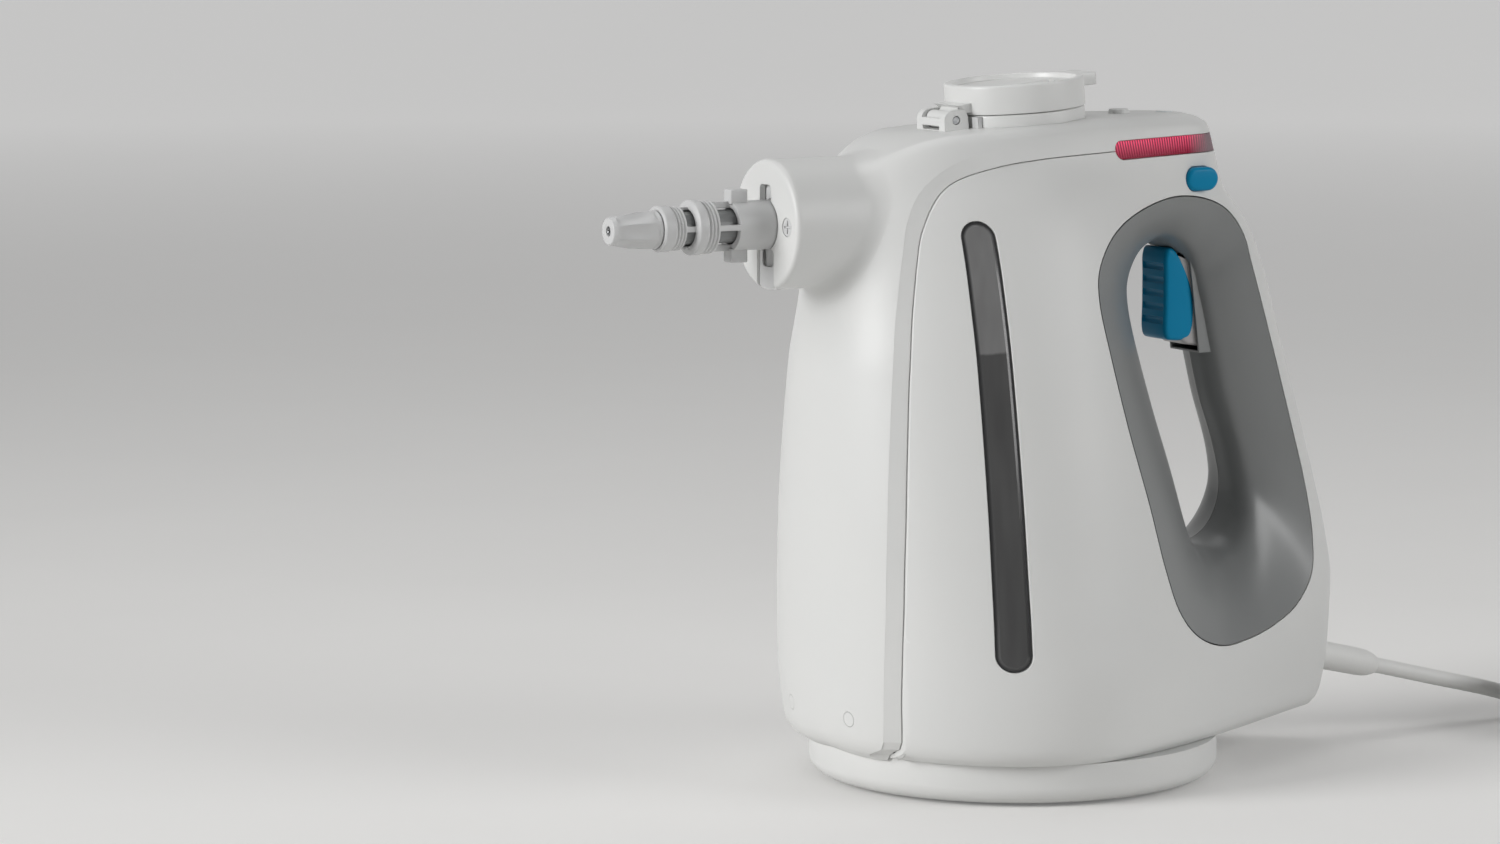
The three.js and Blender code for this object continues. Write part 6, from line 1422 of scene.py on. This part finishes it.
carrierTable = np.array([
    (-0.571, 0.058), (-0.49, -0.103), (-0.392, -0.328), (-0.353, -0.544), (-0.387, -0.804), (-0.43, -0.881),
    (-0.277, -0.959), (-0.039, -0.959), (0, -0.829), (0.08, -0.622), (0.08, -0.466), (0.117, -0.207),
    (0.117, 0.119), (-0.207, 0.13)]) * trigger["length"]


def triggerCarrier():
    outline = rounded(carrierTable, [0.3, 1, 2, 2, 0.4, 0.2, 1.6, 1.6, 1, 0.8, 0.8, 1, 1, 1], 5)
    wide = trigger["bodyHalf"]
    obj = meshOf("triggerCarrier", prism(outline, -wide, wide, 1.2, triggerFrame, 5))
    cuts = []
    for low, high in ((-9.5, -4.6), (4.6, 9.5)):  # corners that leave the spring's coils free
        cuts.append(box((-4.6, -4.6, low), (9.2, 9.2, high), 0, triggerFrame))
    cuts.append(disc(trigger["pinHole"], -12, 12, matrix=triggerFrame, segments=32))
    return carved(obj, *[("DIFFERENCE", cut) for cut in cuts])


finished(triggerCap(), blueAbs, body="trigger", replaces=["trigger_cap"], sharpAt=40)
finished(triggerCarrier(), paleAcetal, body="trigger", replaces=["trigger_carrier"])

# grey apron of the trigger, flush with the lining, and the pale heel that stands out of it under the cap
apronSetup = {"bottom": 173.4, "top": 216.1, "depth": 7, "half": 9.6, "flare": 3.6, "power": 2.2}


def apronShape():
    s = apronSetup
    lining = throatOutline[throatOutline[:, 0] > insert["throatX"] + 0.45 * insert["throatLength"]]
    lining = lining[np.argsort(lining[:, 1])]
    heights = np.linspace(s["bottom"], s["top"], 16)
    face = np.interp(heights, lining[:, 1], lining[:, 0])
    rings = []
    for y in np.linspace(-s["half"], s["half"], 15):
        x = face + s["flare"] * abs(y / s["half"]) ** s["power"]
        back = [(face[-1] + s["depth"], y, s["top"]), (face[0] + s["depth"], y, s["bottom"])]
        rings.append(np.concatenate([np.column_stack([x, np.full(len(x), y), heights]), back]))
    return loft(rings)


piece("triggerApron", apronShape(), glossGreyAbs, body="trigger")
heelTable = [(74, 178), (79, 174.6), (86, 173.6), (90, 175), (89.6, 181), (86.5, 189), (83, 195), (76, 190)]
heel = prism(rounded(heelTable, [1, 2, 2, 2, 2, 3, 2, 1], 5), -9.2, 9.2, 1.6, sideways, 5)
piece("triggerHeel", heel, paleAcetal, body="trigger", sharpAt=50)


def triggerWell():  # open in front and behind
    w = wellSetup
    low, high, wide = w["bottom"] - w["wall"], w["top"] + w["wall"], w["half"] + w["wall"]
    outer = [(w["frontLow"], low), (w["rear"], low), (w["rear"], high), (w["frontHigh"], high)]
    inner = [(w["frontLow"] - 3, w["bottom"]), (w["rear"] + 2, w["bottom"]), (w["rear"] + 2, w["top"]),
             (w["frontHigh"] - 3, w["top"])]
    obj = meshOf("triggerWell", prism(outer, -wide, wide, matrix=sideways))
    return carved(obj, ("DIFFERENCE", prism(inner, -w["half"], w["half"], matrix=sideways)))


finished(triggerWell(), glossGreyAbs)
print("trigger made")

# CAD nodes that keep their own form get the finish of their kind
finishes = {
    "lid_hinge_block": lidAbs, "lid_hinge_pin": drawnSteel, "lid_seal": blackRubber,
    "lid_buffer": greyPolyamide, "nozzle_inner_tube": glossGreyAbs, "nozzle_seal": blackRubber,
    "nozzle_socket": greyPolyamide, "trigger_pin": drawnSteel, "trigger_spring": drawnSteel,
    "trigger_frame": darkPolyamide, "microswitch": darkPolyamide, "switch_plunger": greyPolyamide,
    "water_tank": naturalPolypropylene, "control_board": boardLacquer, "boiler": castAluminium,
    "heater_element": drawnSteel, "boiler_bracket": drawnSteel, "thermostat": drawnSteel,
    "thermal_fuse": milkySilicone, "pump": darkPolyamide, "pump_mount": blackRubber,
    "suction_hose": milkySilicone, "pressure_hose": milkySilicone, "steam_pipe": drawnSteel,
    "terminal_block": milkySilicone, "cable_clamp": darkPolyamide, "button_board": boardLacquer,
    "light_strip": boardLacquer, "base_screw_1": drawnSteel, "base_screw_2": drawnSteel,
}
for name, material in finishes.items():
    data = nodes[name].data
    data.materials.clear()
    data.materials.append(material)
    data.shade_smooth()
    data.set_sharp_from_angle(angle=math.radians(35))
print("inner pieces dressed")

# floor, backdrop and lamps
floorLook = {
    "half": 6.5, "front": -6, "back": 4.6, "curve": 1.4, "top": 5, "colour": "#e7e6e4", "tint": "#e3e2e0",
    "glow": (0.12, 0.42), "glowFrom": 0.6, "glowTo": 4.5,
}


# Pale painted board: matt, hardly mottled.
def paleFloor():
    look = floorLook
    material, tree, shader = newMaterial("palePaintedBoard")
    place = addNode(tree, "ShaderNodeTexCoord").outputs["Object"]
    mottle = addNode(tree, "ShaderNodeTexNoise", {"Vector": place, "Scale": 5.0, "Detail": 3.0})
    tint = addNode(tree, "ShaderNodeMix", {"Factor": mottle.outputs["Fac"]}, data_type="RGBA")
    tint.inputs[6].default_value = hexColour(look["colour"])
    tint.inputs[7].default_value = hexColour(look["tint"])
    tree.links.new(tint.outputs[2], shader.inputs["Base Color"])
    shader.inputs["Roughness"].default_value = 0.75
    shader.inputs["Specular IOR Level"].default_value = 0.2
    # the board stays pale far from the object, where the lamps hardly reach it
    far = addNode(tree, "ShaderNodeVectorMath", {0: place}, operation="LENGTH")
    seen = addNode(tree, "ShaderNodeLightPath")
    either = addNode(tree, "ShaderNodeMath", {
        0: seen.outputs["Is Camera Ray"], 1: seen.outputs["Is Glossy Ray"]}, operation="MAXIMUM")
    either = addNode(tree, "ShaderNodeMath", {
        0: either.outputs[0], 1: seen.outputs["Is Transmission Ray"]}, operation="MAXIMUM")
    rise = addNode(tree, "ShaderNodeMapRange", {
        "Value": far.outputs["Value"], "From Min": look["glowFrom"], "From Max": look["glowTo"],
        "To Min": look["glow"][0], "To Max": look["glow"][1]})
    glow = addNode(tree, "ShaderNodeMath", {0: either.outputs[0], 1: rise.outputs[0]}, operation="MULTIPLY")
    tree.links.new(glow.outputs[0], shader.inputs["Emission Strength"])
    shader.inputs["Emission Color"].default_value = (1, 1, 1, 1)
    return material


def stageMesh():
    f = floorLook
    turn = math.radians(cameraSetup["turn"])
    ahead, across = Vector((-math.sin(turn), math.cos(turn), 0)), Vector((math.cos(turn), math.sin(turn), 0))
    profile = [(f["front"], 0.0), (f["back"], 0.0)]
    for i in range(1, 17):
        angle = math.pi / 2 * i / 16
        profile.append((f["back"] + f["curve"] * math.sin(angle), f["curve"] * (1 - math.cos(angle))))
    profile.append((profile[-1][0], f["top"]))
    points = []
    for far, high in profile:
        for side in (-1, 1):
            points.append(ahead * far + across * side * f["half"] + Vector((0, 0, high)))
    faces = [(2 * i, 2 * i + 1, 2 * i + 3, 2 * i + 2) for i in range(len(profile) - 1)]
    mesh = bpy.data.meshes.new("floor")
    mesh.from_pydata(points, [], faces)
    obj = bpy.data.objects.new("floor", mesh)
    bpy.context.scene.collection.objects.link(obj)
    mesh.materials.append(paleFloor())
    mesh.shade_smooth()
    return obj


lampAim = Vector((0.02, 0, 0.14))  # the body's middle


def softbox(name, place, size, power, spread):
    lamp = bpy.data.objects.new(name, bpy.data.lights.new(name, "AREA"))
    lamp.location = place
    lamp.rotation_euler = (lampAim - Vector(place)).to_track_quat("-Z", "Y").to_euler()
    lamp.data.shape = "RECTANGLE"
    lamp.data.size, lamp.data.size_y = size
    lamp.data.energy = power
    lamp.data.spread = math.radians(spread)
    bpy.context.scene.collection.objects.link(lamp)
    return lamp


stageMesh()
softbox("keyLight", (-2.35, 0.05, 0.95), (1.1, 1.1), 8.3, 75)
softbox("fillLight", (1.5, -1.8, 1.0), (1.5, 1.2), 7, 95)
softbox("topLight", (0.1, 0.5, 1.9), (1.2, 1.2), 7, 180)
world = bpy.data.worlds.new("studio")
bpy.context.scene.world = world
world.use_nodes = True
sky = world.node_tree.nodes["Background"].inputs
sky["Color"].default_value = (1, 1, 1, 1)
sky["Strength"].default_value = 0.18
bpy.context.scene.view_settings.view_transform = "Standard"
print("stage lit")
